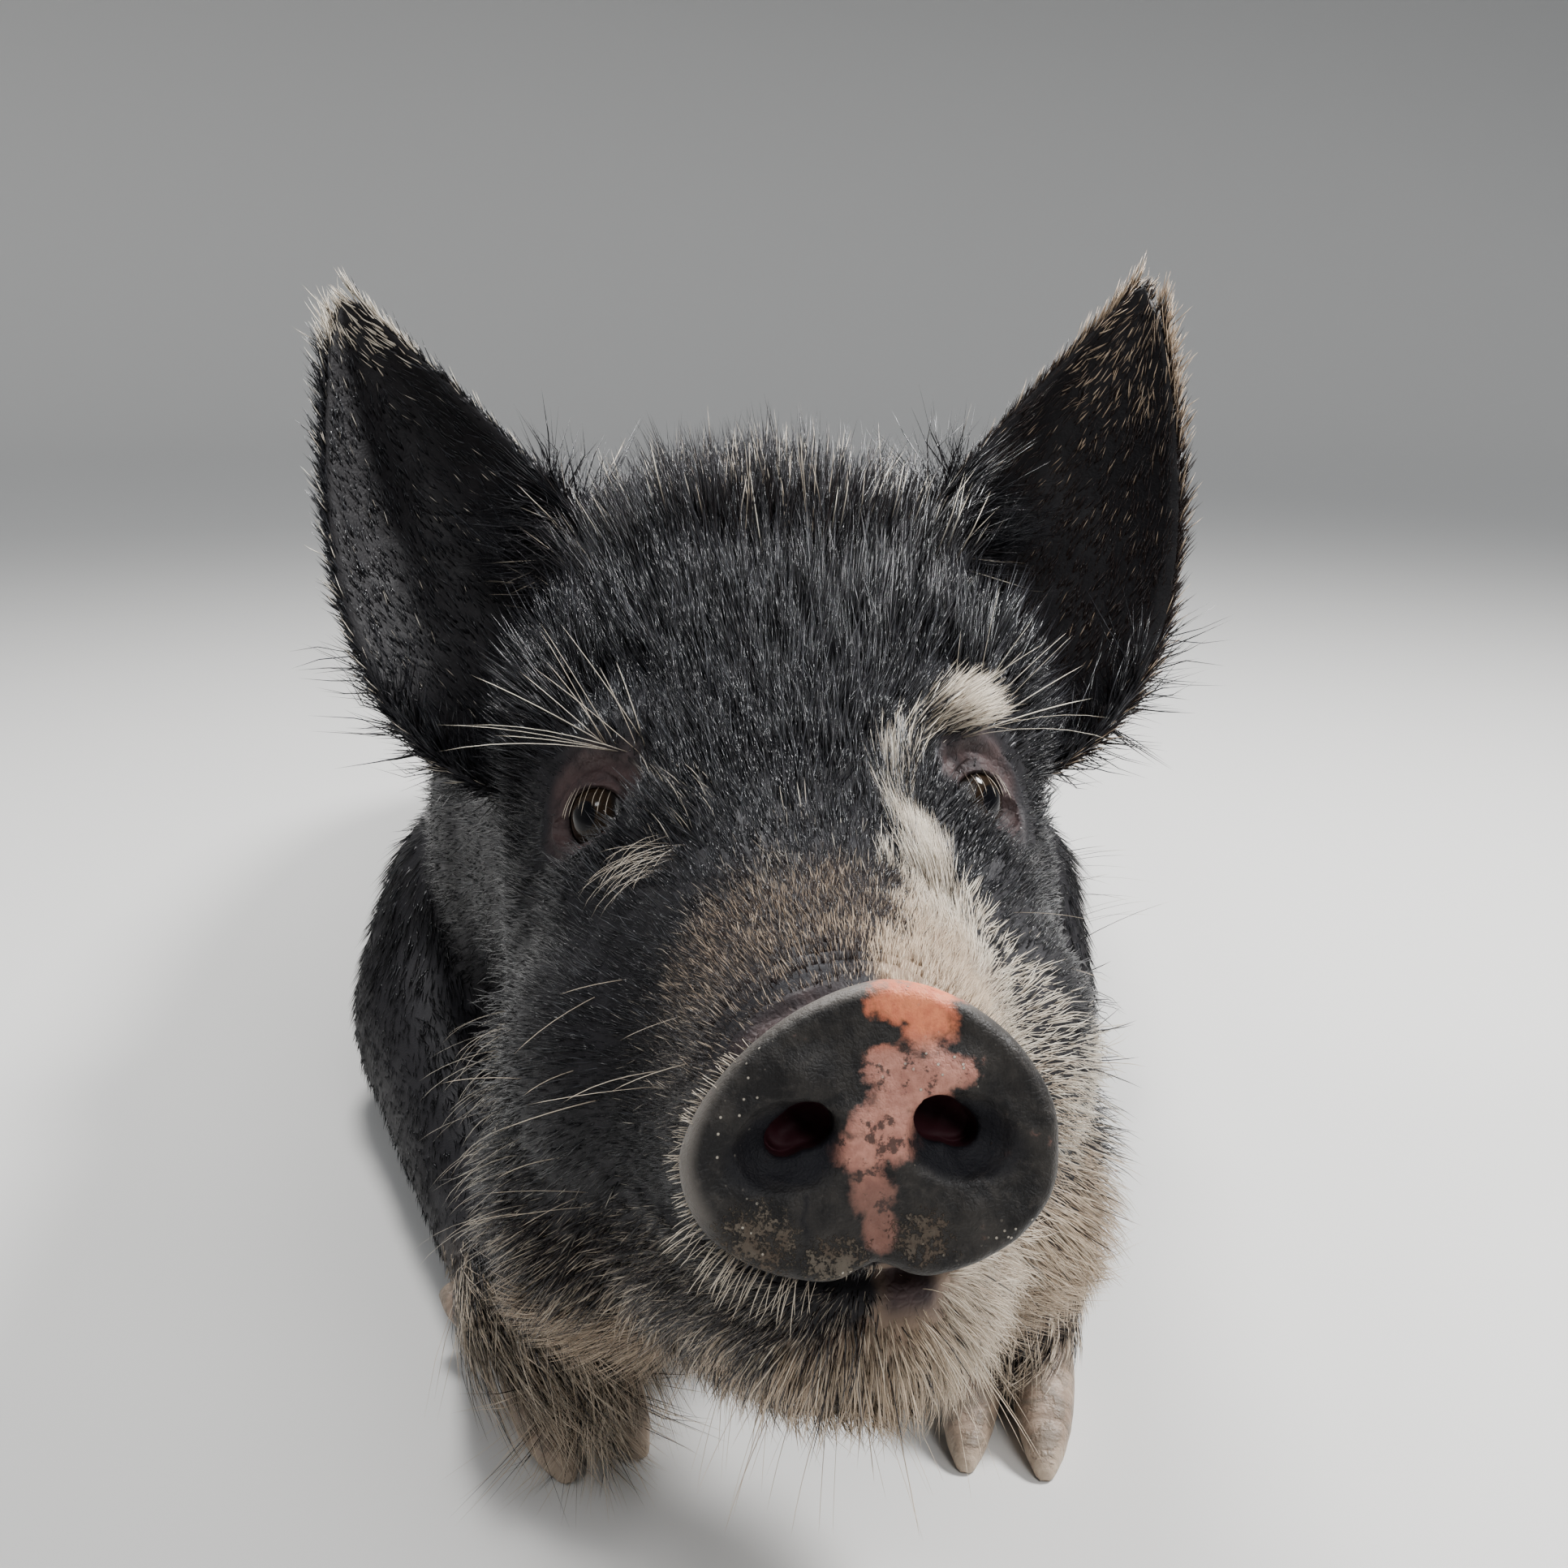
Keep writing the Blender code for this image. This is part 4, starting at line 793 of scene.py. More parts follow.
class Signal:
    """A socket's value: Python's operators on it add Math nodes."""

    def __init__(self, finish, socket):
        self.finish = finish
        self.socket = socket

    def math(self, operation, *others, first=True):
        values = (self, *others) if first else (*others, self)
        return self.finish.node("ShaderNodeMath", {"operation": operation}, dict(enumerate(values)))

    def __add__(self, other):
        return self.math("ADD", other)

    def __radd__(self, other):
        return self.math("ADD", other)

    def __sub__(self, other):
        return self.math("SUBTRACT", other)

    def __rsub__(self, other):
        return self.math("SUBTRACT", other, first=False)

    def __mul__(self, other):
        return self.math("MULTIPLY", other)

    def __rmul__(self, other):
        return self.math("MULTIPLY", other)

    def __pow__(self, other):
        return self.math("POWER", other)

    def ramp(self, low, high):
        """0 below low, 1 above high and smooth between."""
        sockets = {"Value": self, "From Min": low, "From Max": high}
        return self.finish.node("ShaderNodeMapRange", {"interpolation_type": "SMOOTHSTEP"}, sockets)


class Finish:
    """A named material with a Principled shader, to which any node is added in one way."""

    def __init__(self, name, **constants):
        self.material = bpy.data.materials.new(name)
        self.material.use_nodes = True
        self.nodes = self.material.node_tree.nodes
        self.links = self.material.node_tree.links
        self.shader = self.nodes["Principled BSDF"]
        for label, value in constants.items():
            self.shader.inputs[label.replace("_", " ")].default_value = value

    def node(self, kind, settings=None, sockets=None, output=0):
        made = self.nodes.new(kind)
        for label, value in (settings or {}).items():
            setattr(made, label, value)
        for label, value in (sockets or {}).items():
            self.feed(made.inputs[label], value)
        return Signal(self, made.outputs[output])

    def feed(self, socket, value):
        if isinstance(value, Signal):
            self.links.new(value.socket, socket)
        elif socket.type == "RGBA":
            socket.default_value = (*tuple(value)[:3], 1.0)
        else:
            socket.default_value = value

    def blend(self, factor, one, two, how="MIX"):
        """Two colours mixed by a factor."""
        return self.node(
            "ShaderNodeMix", {"data_type": "RGBA", "blend_type": how}, {0: factor, 6: one, 7: two}, output=2
        )

    def place(self):
        return self.node("ShaderNodeTexCoord", output=3)

    def stretched(self, scale):
        return self.node("ShaderNodeMapping", None, {"Vector": self.place(), "Scale": scale})

    def noise(self, scale, detail=3.0, roughness=0.55, where=None):
        sockets = {"Scale": scale, "Detail": detail, "Roughness": roughness, "Vector": where or self.place()}
        return self.node("ShaderNodeTexNoise", None, sockets)

    def cells(self, scale, feature="F1"):
        sockets = {"Scale": scale, "Vector": self.place()}
        return self.node("ShaderNodeTexVoronoi", {"feature": feature}, sockets)

    def kept(self, name):
        """A value that the mesh keeps for each vertex."""
        return self.node("ShaderNodeAttribute", {"attribute_name": name}, output=2)

    def finish(self, colour, roughness=None, height=None, depth=0.001):
        self.feed(self.shader.inputs["Base Color"], colour)
        if roughness is not None:
            self.feed(self.shader.inputs["Roughness"], roughness)
        if height is not None:
            bump = self.node("ShaderNodeBump", None, {"Height": height, "Distance": depth})
            self.feed(self.shader.inputs["Normal"], bump)
        return self.material


def skin_material(colours):
    made = Finish("skin", Roughness=0.62, Specular_IOR_Level=0.22)
    pale, bare, warm, cup = (made.kept(name) for name in ("pale", "bare", "warm", "cup"))
    mottle = made.noise(140.0, 4.0)
    fine = made.noise(900.0, 2.0)
    light = made.blend(warm, colours.white_skin, colours.tan_skin)
    colour = made.blend(pale.ramp(0.25, 0.85), colours.black_skin, light)
    eye_skin = made.blend(mottle.ramp(0.38, 0.68), colours.bare_skin, (0.024, 0.016, 0.017))
    colour = made.blend(bare, colour, eye_skin)
    # The inside of the ears' cups darkened: painted shade
    colour = made.blend(cup * 0.9, colour, (0.006, 0.005, 0.006))
    colour = made.blend(fine * 0.5, colour, (0.5, 0.5, 0.5), "SOFT_LIGHT")
    wrinkle = made.cells(420.0, "DISTANCE_TO_EDGE").ramp(0.0, 0.25)
    height = fine * 0.4 + wrinkle * 0.22 * bare + mottle * 0.5
    return made.finish(colour, mottle.ramp(0.2, 0.8) * 0.2 + 0.5, height, 0.0006)


def bristle_material(colours):
    made = Finish("bristles", Roughness=0.2, Specular_IOR_Level=0.38)
    pale, warm, tone, along = (made.kept(label) for label in ("pale", "warm", "tone", "along"))
    # Grey odd hairs and lighter tips on the black coat: partly real grey hair, partly painted glint on the
    # bristles
    dark = made.blend(tone.ramp(0.80, 1.0) * 0.8, colours.black_hair, colours.grey_and_glint_hair)
    dark = made.blend(along * along * 0.30, dark, colours.grey_and_glint_hair)
    dark = made.blend(warm * 0.7, dark, (0.024, 0.013, 0.010))
    light = made.blend(warm, colours.white_hair, colours.tan_hair)
    # Pale hairs: darker at random by their tone, then darker towards their roots, which is painted shade deep
    # in the coat
    toned_and_root_shaded = made.blend(tone * 0.55, light, (0.34, 0.25, 0.17))
    toned_and_root_shaded = made.blend((1 - along) ** 1.6 * 0.80, toned_and_root_shaded, (0.070, 0.046, 0.032))
    is_pale = (pale * 2.2 - 1.15 + along).ramp(0.15, 0.75)
    colour = made.blend(is_pale, dark, toned_and_root_shaded)
    return made.finish(colour, 0.17 + tone * 0.12 + is_pale * 0.20)


def disc_material(colours):
    made = Finish("disc", Roughness=0.5, Specular_IOR_Level=0.2)
    pink, mud, rim, hollow, shade, top, low = (
        made.kept(name) for name in ("pink", "mud", "rim", "hollow", "shade", "top", "low")
    )
    coarse = made.noise(120.0, 5.0, 0.62)
    fine = made.noise(430.0, 4.0, 0.6)
    grain = made.noise(1700.0, 2.0)
    spots = made.noise(230.0, 4.0, 0.7)
    combed = made.noise(420.0, 3.0, where=made.stretched((1.0, 1.0, 0.10)))
    slate = made.blend(coarse.ramp(0.35, 0.68), colours.disc_dark, colours.disc_light)
    slate = made.blend(fine.ramp(0.52, 0.75) * 0.35, slate, (0.075, 0.066, 0.058))
    # A pale band along the upper rim, towards the pig's right: a painted highlight
    slate = made.blend(rim * 0.75, slate, colours.disc_rim_highlight)
    patch = (pink + (coarse - 0.5) * 1.5 + (fine - 0.5) * 1.0).ramp(0.26, 0.84)
    salmon = made.blend(fine.ramp(0.3, 0.7), colours.disc_pink, (0.34, 0.15, 0.115))
    # The pink at the disc's top is painted a brighter orange: painted sunlight on the pink skin
    sunlit_orange = made.blend(fine.ramp(0.35, 0.65), (0.78, 0.25, 0.12), (0.60, 0.17, 0.09))
    salmon = made.blend(top, salmon, sunlit_orange)
    salmon = made.blend(low * 0.72, salmon, (0.085, 0.048, 0.038))
    salmon = made.blend(spots.ramp(0.54, 0.63) * (1 - top * 0.85) * 0.85, salmon, (0.038, 0.026, 0.023))
    colour = made.blend(patch, slate, salmon)
    colour = made.blend(shade * 0.93, colour, (0.0045, 0.0045, 0.007))
    # Dark maroon deep in the nostrils: the lining's colour, darkened as painted shade
    colour = made.blend(hollow, colour, (0.034, 0.007, 0.011))
    dirt = (mud * 0.9 + (fine - 0.5) * 1.9 + (grain - 0.5) * 1.6).ramp(0.50, 0.86)
    dried = made.blend(coarse.ramp(0.4, 0.6), colours.mud, (0.085, 0.062, 0.044))
    colour = made.blend(dirt * 0.70, colour, dried)
    grit = made.cells(420.0).ramp(0.10, 0.16)
    picked = made.noise(70.0, 2.0).ramp(0.52, 0.62)
    specks = (1 - grit) * picked * (1 - hollow) * (1 - shade)
    colour = made.blend(specks * 0.8, colour, (0.50, 0.45, 0.37))
    pores = made.cells(900.0, "DISTANCE_TO_EDGE").ramp(0.0, 0.22)
    height = pores * 0.07 + fine * 0.35 + grain * 0.22 + combed * 0.45
    height = height + dirt * 0.8 + specks * 0.5 + coarse * 0.6
    roughness = 0.42 + fine * 0.16 + dirt * 0.25 + shade * 0.15
    return made.finish(colour, roughness, height * (1 - hollow * 0.85), 0.0007)


def eye_material(colours):
    made = Finish("eye", Roughness=0.10, Specular_IOR_Level=0.14)
    ring = made.kept("ring")
    rays = made.noise(700.0, 3.0)
    iris = made.blend(rays.ramp(0.35, 0.65), colours.iris, (0.020, 0.012, 0.007))
    colour = made.blend(ring.ramp(0.30, 0.34), (0.003, 0.003, 0.004), iris)
    colour = made.blend(ring.ramp(0.60, 0.72), colour, (0.008, 0.006, 0.005))
    colour = made.blend(ring.ramp(0.90, 1.0), colour, (0.07, 0.052, 0.045))
    return made.finish(colour)


def claw_material(colours):
    made = Finish("claw", Roughness=0.5)
    rings = made.noise(60.0, 3.0, where=made.stretched((1.0, 5.0, 1.0)))
    fine = made.noise(700.0, 3.0)
    tip = made.kept("tip")
    colour = made.blend(rings.ramp(0.3, 0.7), colours.claw, colours.claw_dark)
    colour = made.blend(tip * 0.6, colour, (0.50, 0.40, 0.30))
    dirt = (made.noise(160.0, 4.0) + (1 - tip) * 0.12).ramp(0.56, 0.70)
    colour = made.blend(dirt * 0.6, colour, colours.mud)
    return made.finish(colour, 0.40 + fine * 0.25, rings * 1.0 + fine * 0.3 + dirt * 0.3, 0.0012)


def floor_material(colours):
    made = Finish("floor", Roughness=0.85)
    grain = made.noise(3.0, 4.0)
    colour = made.blend(grain * 0.10, colours.floor, (0.56, 0.55, 0.53))
    return made.finish(colour)


# Settings that a user would change


def length_setting(name, description, default):
    return bpy.props.FloatProperty(name=name, description=description, default=default, unit="LENGTH")


class PigSizes(bpy.types.PropertyGroup):
    voxel: length_setting("Skin detail", "Size of the skin's faces on the body", 0.0056)
    eye: length_setting("Eye radius", "Radius of each eyeball", 0.0142)
    lid_half_width: length_setting("Eye opening", "Half the width between the lids", 0.0166)
    lid_half_height: length_setting("Lid gap", "Half the height between the lids", 0.0094)
    lid_thick: length_setting("Lid thickness", "How far the lids stand over the eyeball", 0.0020)
    disc_half_width: length_setting("Disc half width", "Half the width of the snout disc", 0.0392)
    disc_up: length_setting("Disc above", "Height of the disc above its middle", 0.0345)
    disc_down: length_setting("Disc below", "Depth of the disc below its middle", 0.0265)
    ear_thick: length_setting("Ear thickness", "Thickness of the ears", 0.0032)
    claw_length: length_setting("Claw length", "Length of each main claw ahead of the pastern", 0.048)
    claw_width: length_setting("Claw width", "Width of each main claw", 0.024)
    claw_height: length_setting("Claw height", "Height of each main claw", 0.037)
    face_hair: length_setting("Face hair width", "Width of the hairs on the face", 0.00055)
    body_hair: length_setting("Body hair width", "Width of the hairs on the body", 0.0010)


def colour_setting(name, description, default):
    return bpy.props.FloatVectorProperty(
        name=name, description=description, default=default, subtype="COLOR", size=3, min=0.0, max=1.0
    )


class PigColours(bpy.types.PropertyGroup):
    black_skin: colour_setting("Black skin", "Skin under the black coat", (0.012, 0.011, 0.013))
    white_skin: colour_setting("White skin", "Skin under the white coat", (0.26, 0.2, 0.16))
    tan_skin: colour_setting("Tan skin", "Skin under the cream coat", (0.22, 0.15, 0.1))
    bare_skin: colour_setting("Bare skin", "Skin of the lids and folds", (0.052, 0.032, 0.031))
    black_hair: colour_setting("Black bristles", "Most of the coat", (0.0045, 0.0045, 0.006))
    # Grey for odd hairs and tips of the black coat: partly real grey hair, partly painted glint
    grey_and_glint_hair: colour_setting("Grey tips", "Tips and odd hairs of the black coat", (0.038, 0.039, 0.045))
    white_hair: colour_setting("White bristles", "The blaze and the feet", (0.87, 0.805, 0.675))
    tan_hair: colour_setting("Cream bristles", "Over the snout and on the jaw", (0.6, 0.45, 0.31))
    disc_dark: colour_setting("Dark snout", "Darker skin of the snout disc", (0.009, 0.0082, 0.0082))
    disc_light: colour_setting("Grey snout", "Lighter skin of the snout disc", (0.03, 0.0265, 0.0235))
    # The pale colour of the disc's upper rim is a painted highlight
    disc_rim_highlight: colour_setting("Snout rim", "Upper rim of the disc", (0.2, 0.18, 0.16))
    disc_pink: colour_setting("Pink patch", "Pink skin on the disc", (0.5, 0.235, 0.175))
    mud: colour_setting("Dried mud", "Dry mud on the disc and claws", (0.135, 0.112, 0.086))
    iris: colour_setting("Iris", "Colour of the iris", (0.014, 0.009, 0.005))
    claw: colour_setting("Claw horn", "Pale horn", (0.35, 0.26, 0.195))
    claw_dark: colour_setting("Claw rings", "Darker rings in the horn", (0.2, 0.14, 0.1))
    floor: colour_setting("Floor", "The pale floor", (0.62, 0.61, 0.59))


# Pieces


def skin_masses():
    """All the closed bodies that the skin is drawn over."""
    pieces = [
        draw_rings("trunk", section_rings(TRUNK, 40, Matrix.Identity(4))),
        draw_rings("skull", section_rings(HEAD, 44, HEAD_PLACE)),
        draw_rings("jaw", section_rings(JAW, 44, HEAD_PLACE)),
    ]
    for masses, frame_place in ((HEAD_MASSES, HEAD_PLACE), (BODY_MASSES, Matrix.Identity(4))):
        for middle, radii, turn in masses:
            for side in (1.0, -1.0):
                at = Matrix.Translation((middle[0] * side, middle[1], middle[2]))
                turned = Matrix.Rotation(math.radians(turn) * side, 4, "Z")
                pieces.append(add_ball("mass", radii, frame_place @ at @ turned))
    for route in LEGS:
        pieces.append(draw_rings("leg", tube_rings(route, 20, 4)))
    return pieces


def soften(piece, repeats, weights=None):
    """Evens out the skin, more where the weights are higher."""
    name = ""
    if weights is not None:
        group = piece.vertex_groups.new(name="soft")
        for step in range(1, 9):
            near = np.nonzero(np.round(weights * 8) == step)[0]
            group.add([int(k) for k in near], step / 8, "REPLACE")
        name = group.name
    apply_change(piece, "SMOOTH", factor=0.5, iterations=repeats, vertex_group=name)
    piece.vertex_groups.clear()


def sculpt_head(piece):
    points = read_points(piece.data)
    for where, reach, move in STROKES:
        for side in (1.0, -1.0):
            middle = np.array(HEAD_PLACE @ Vector((where[0] * side, where[1], where[2])))
            step = HEAD_TURN @ np.array((move[0] * side, move[1], move[2]))
            off = np.linalg.norm(points - middle, axis=1) / reach
            points += (np.clip(1 - off**2, 0, 1) ** 2)[:, None] * step
    write_points(piece.data, points)


def divide_near(piece, wanted):
    """Splits the faces whose middles are wanted, in edit mode."""
    pick(piece)
    mesh = piece.data
    middles = np.empty(len(mesh.polygons) * 3)
    mesh.polygons.foreach_get("center", middles)
    mesh.polygons.foreach_set("select", wanted(in_head(middles.reshape(-1, 3))))
    mesh.edges.foreach_set("select", np.zeros(len(mesh.edges), bool))
    mesh.vertices.foreach_set("select", np.zeros(len(mesh.vertices), bool))
    bpy.ops.object.mode_set(mode="EDIT")
    bpy.ops.mesh.select_mode(type="FACE")
    bpy.ops.mesh.subdivide(number_cuts=1, smoothness=0.6)
    bpy.ops.object.mode_set(mode="OBJECT")


def eye_place(side):
    """Where an eye sits: its Y points into the head and its Z up."""
    axis = Vector((EYE_AXIS.x * side, EYE_AXIS.y, EYE_AXIS.z)).normalized()
    middle = Vector((EYE_MIDDLE.x * side, EYE_MIDDLE.y, EYE_MIDDLE.z))
    across = axis.cross(Vector((0, 0, 1))).normalized()
    up = across.cross(axis).normalized()
    look = Matrix((across, -axis, up)).transposed().to_4x4()
    return HEAD_PLACE @ Matrix.Translation(middle) @ look


def open_lids(skin, sizes):
    """Cuts each eye's socket and the almond gap between its lids, a little towards the snout."""
    for side in (1.0, -1.0):
        place = eye_place(side)
        socket = add_ball("socket", (sizes.eye + 0.0003,) * 3, place, 48)
        combine(skin, socket, "DIFFERENCE")
        ahead = Matrix.Translation((0.0012 * side, -sizes.eye * 1.02, 0.0))
        slant = Matrix.Rotation(math.radians(-12.0) * side, 4, "Y")
        radii = (sizes.lid_half_width, sizes.eye * 0.52, sizes.lid_half_height)
        opening = add_ball("opening", radii, place @ (ahead @ slant), 48)
        combine(skin, opening, "DIFFERENCE")


def fold_lids(points, sizes):
    """The lids' rims and the creases round them."""
    moved = np.zeros(len(points))
    for side in (1.0, -1.0):
        into = np.array(eye_place(side).inverted())
        local = points @ into[:3, :3].T + into[:3, 3]
        a = (local[:, 0] - 0.0026 * side) / sizes.lid_half_width
        c = local[:, 2] / sizes.lid_half_height
        ring = np.sqrt(a**2 + c**2 * np.where(c > 0, 0.50, 0.62))
        near = fade(np.linalg.norm(local, axis=1), 0.024, 0.036) * (local[:, 1] < 0.004)
        crease = np.cos(2 * math.pi * (ring - 1.02) / 0.50) * np.exp(-np.maximum(ring - 1.0, 0) / 0.9)
        broken = 0.75 + 0.35 * waves(points, 0.016, 21)
        moved += near * crease * broken * 0.0013 * (ring > 0.8)
    return moved


def fold_snout(points):
    """Wrinkles over the snout behind the disc, and the rounding of the lips."""
    x, y, z = in_head(points).T
    bend = y + 0.10 * x * x / 0.04 + waves(points, 0.03, 31) * 0.0018
    top = smooth(z, -0.080, -0.055) * fade(y, -0.146, -0.118)
    ridges = np.sin(2 * math.pi * (bend + 0.160) / 0.0075) * top * 0.0009
    line = np.interp(y, [row[0] for row in MOUTH_LINE], [row[1] for row in MOUTH_LINE])
    off = (z - line) / 0.006
    lips = np.exp(-((np.abs(off) - 0.8) ** 2) / 0.35) * fade(y, -0.082, -0.070) * 0.0011
    slit = -np.exp(-((off / 0.28) ** 2)) * fade(y, -0.080, -0.072) * 0.0034
    return ridges + lips + slit


def ear_point(side, t, s):
    """A point of an ear's middle sheet, from root to tip by t and across by s."""
    inner, outer = (bezier(curve, t) for curve in (EAR_INNER, EAR_OUTER))
    chord = outer - inner
    back = Vector((-0.25, 1.0, 0.0)).normalized()
    depth = min(0.034, 0.42 * chord.length) * (1 - 0.35 * t)
    point = inner + chord * s + back * depth * 4 * s * (1 - s)
    return HEAD_PLACE @ Vector((point.x * side, point.y, point.z))


def bezier(points, t):
    a, b, c, d = (Vector(point) for point in points)
    s = 1 - t
    return a * s**3 + b * 3 * s * s * t + c * 3 * s * t * t + d * t**3


def model_ear(side, sizes):
    """One ear: a grid bent to its cupped sheet with a rounded tip, and thickened."""
    rows, across = 34, 22
    bpy.ops.object.select_all(action="DESELECT")
    bpy.ops.mesh.primitive_grid_add(x_subdivisions=across, y_subdivisions=rows, size=2.0)
    piece = start_piece("ear")
    points = read_points(piece.data)
    for k, (u, v, _) in enumerate(points):
        t = -0.02 + 0.975 * (v + 1) / 2
        narrow = math.sqrt(max(1 - (max(t - 0.875, 0.0) / 0.08) ** 2, 0.03))
        points[k] = ear_point(side, t, 0.5 + u / 2 * narrow)
    write_points(piece.data, points)
    with editing(piece):
        bpy.ops.mesh.remove_doubles(threshold=0.0004)
    apply_change(piece, "SOLIDIFY", thickness=sizes.ear_thick, offset=0.0, use_even_offset=False)
    face_out(piece)
    return piece


def ear_share(points):
    """How far a place is on an ear rather than on the head."""
    head = in_head(points)
    head[:, 0] = np.abs(head[:, 0])
    spine = [(0.074, 0.078, 0.060), (0.115, 0.078, 0.100), (0.135, 0.070, 0.140), (0.146, 0.058, 0.190)]
    near = fade(off_line(head, spine), 0.055, 0.065)
    out = smooth(head[:, 0] + 0.25 * (head[:, 2] - 0.05), 0.088, 0.100)
    return near * out


def flatten_base(points):
    points[:, 2] = np.maximum(points[:, 2], 0.0010)
    return points


class PIG_OT_skin(bpy.types.Operator):
    """Model the one skin of the whole animal, with its lids, lips and folds"""

    bl_idname = "object.make_pig_skin"
    bl_label = "Skin"

    def execute(self, context):
        sizes = context.scene.pig_sizes
        skin = joined(skin_masses(), "skin")
        apply_change(skin, "REMESH", mode="VOXEL", voxel_size=sizes.voxel)
        soften(skin, 9)
        points = read_points(skin.data)
        behind = (points[:, 1] - HEAD_AT.y - 0.06) / 0.08
        aloft = (points[:, 2] - 0.06) / 0.05
        soften(skin, 40, np.clip(np.minimum(behind, aloft), 0, 1))
        sculpt_head(skin)
        write_points(skin.data, flatten_base(read_points(skin.data)))
        divide_near(skin, lambda head: (head[:, 1] < 0.030) & (np.abs(head[:, 0]) < 0.10))
        divide_near(skin, near_details)
        for side in (1.0, -1.0):
            combine(skin, model_ear(side, sizes), "UNION")
        combine(skin, draw_rings("tail", tube_rings(TAIL, 14, 4)), "UNION")
        for side in (1.0, -1.0):
            mound = add_ball("lid_mound", (sizes.eye + sizes.lid_thick,) * 3, eye_place(side), 48)
            combine(skin, mound, "UNION")
        self.settle_joins(skin)
        self.add_folds(skin, sizes)
        open_lids(skin, sizes)
        self.keep_markings(skin, context)
        self.unwrap(skin)
        round_off(skin)
        settle(
            skin, "black_coat", "head", "neck", "torso", "ear_left", "ear_right", "tail",
            "foreleg_left", "foreleg_right", "hindleg_left", "hindleg_right",
        )
        return {"FINISHED"}

    def settle_joins(self, skin):
        """Rounds the creases where the ears, the tail and the lids grow out of the body."""
        points = read_points(skin.data)
        head = in_head(points)
        head[:, 0] = np.abs(head[:, 0])
        root = [EAR_INNER[0], (0.070, 0.088, 0.050), EAR_OUTER[0]]
        near = fade(off_line(head, root), 0.006, 0.016)
        tail = fade(np.linalg.norm(points - np.array((0.0, 0.530, 0.238)), axis=1), 0.010, 0.030)
        eye, _ = off_eye(head)
        lid = smooth(eye, 0.0135, 0.0165) * fade(eye, 0.020, 0.026)
        soften(skin, 8, np.maximum.reduce([near, tail, lid]))

    def add_folds(self, skin, sizes):
        points, normals = read_points(skin.data), read_normals(skin.data)
        head = in_head(points)
        face = fade(head[:, 1], 0.02, 0.05)
        moved = (fold_lids(points, sizes) + fold_snout(points)) * face
        write_points(skin.data, flatten_base(points + normals * moved[:, None]))

    def keep_markings(self, skin, context):
        mesh = skin.data
        points, normals = read_points(mesh), read_normals(mesh)
        white, tipped, warm = markings(points)
        ear = ear_share(points)
        dark_under = 0.8 * smooth(in_head(points)[:, 1], -0.105, -0.060) * (1 - foot_end(points))
        mark(mesh, "pale", np.maximum(white, 0.1 * tipped) * (1 - ear) * (1 - dark_under))
        mark(mesh, "warm", warm)
        mark(mesh, "bare", bare_share(points))
        # The inner face of each ear, darkened in the skin as painted shade
        front = (normals @ HEAD_TURN)[:, 1] < 0.1
        mark(mesh, "cup", ear * front)
        mesh.materials.clear()
        mesh.materials.append(skin_material(context.scene.pig_colours))

    def unwrap(self, skin):
        while skin.data.uv_layers:
            skin.data.uv_layers.remove(skin.data.uv_layers[0])
        skin.data.uv_layers.new(name="OFBake")
        with editing(skin):
            bpy.ops.uv.smart_project(angle_limit=math.radians(70), island_margin=0.003)


def near_details(head):
    """The faces round the eyes, over the snout and along the lips."""
    eye, _ = off_eye(head)
    return (eye < 0.040) | (head[:, 1] < -0.105)


def disc_outline(sizes, scale, count):
    """The disc's outline, an egg with a narrow top and a notch in its lower edge."""
    points = []
    half, up, down = (value * scale for value in (sizes.disc_half_width, sizes.disc_up, sizes.disc_down))
    for x, z in egg_ring(half, up, down, 1.7, 2.3, count):
        notch = 0.0042 * math.exp(-((x / 0.006) ** 2)) if z < 0 else 0.0
        points.append((x + DISC_LEAN * max(z, 0.0), z + notch))
    return points


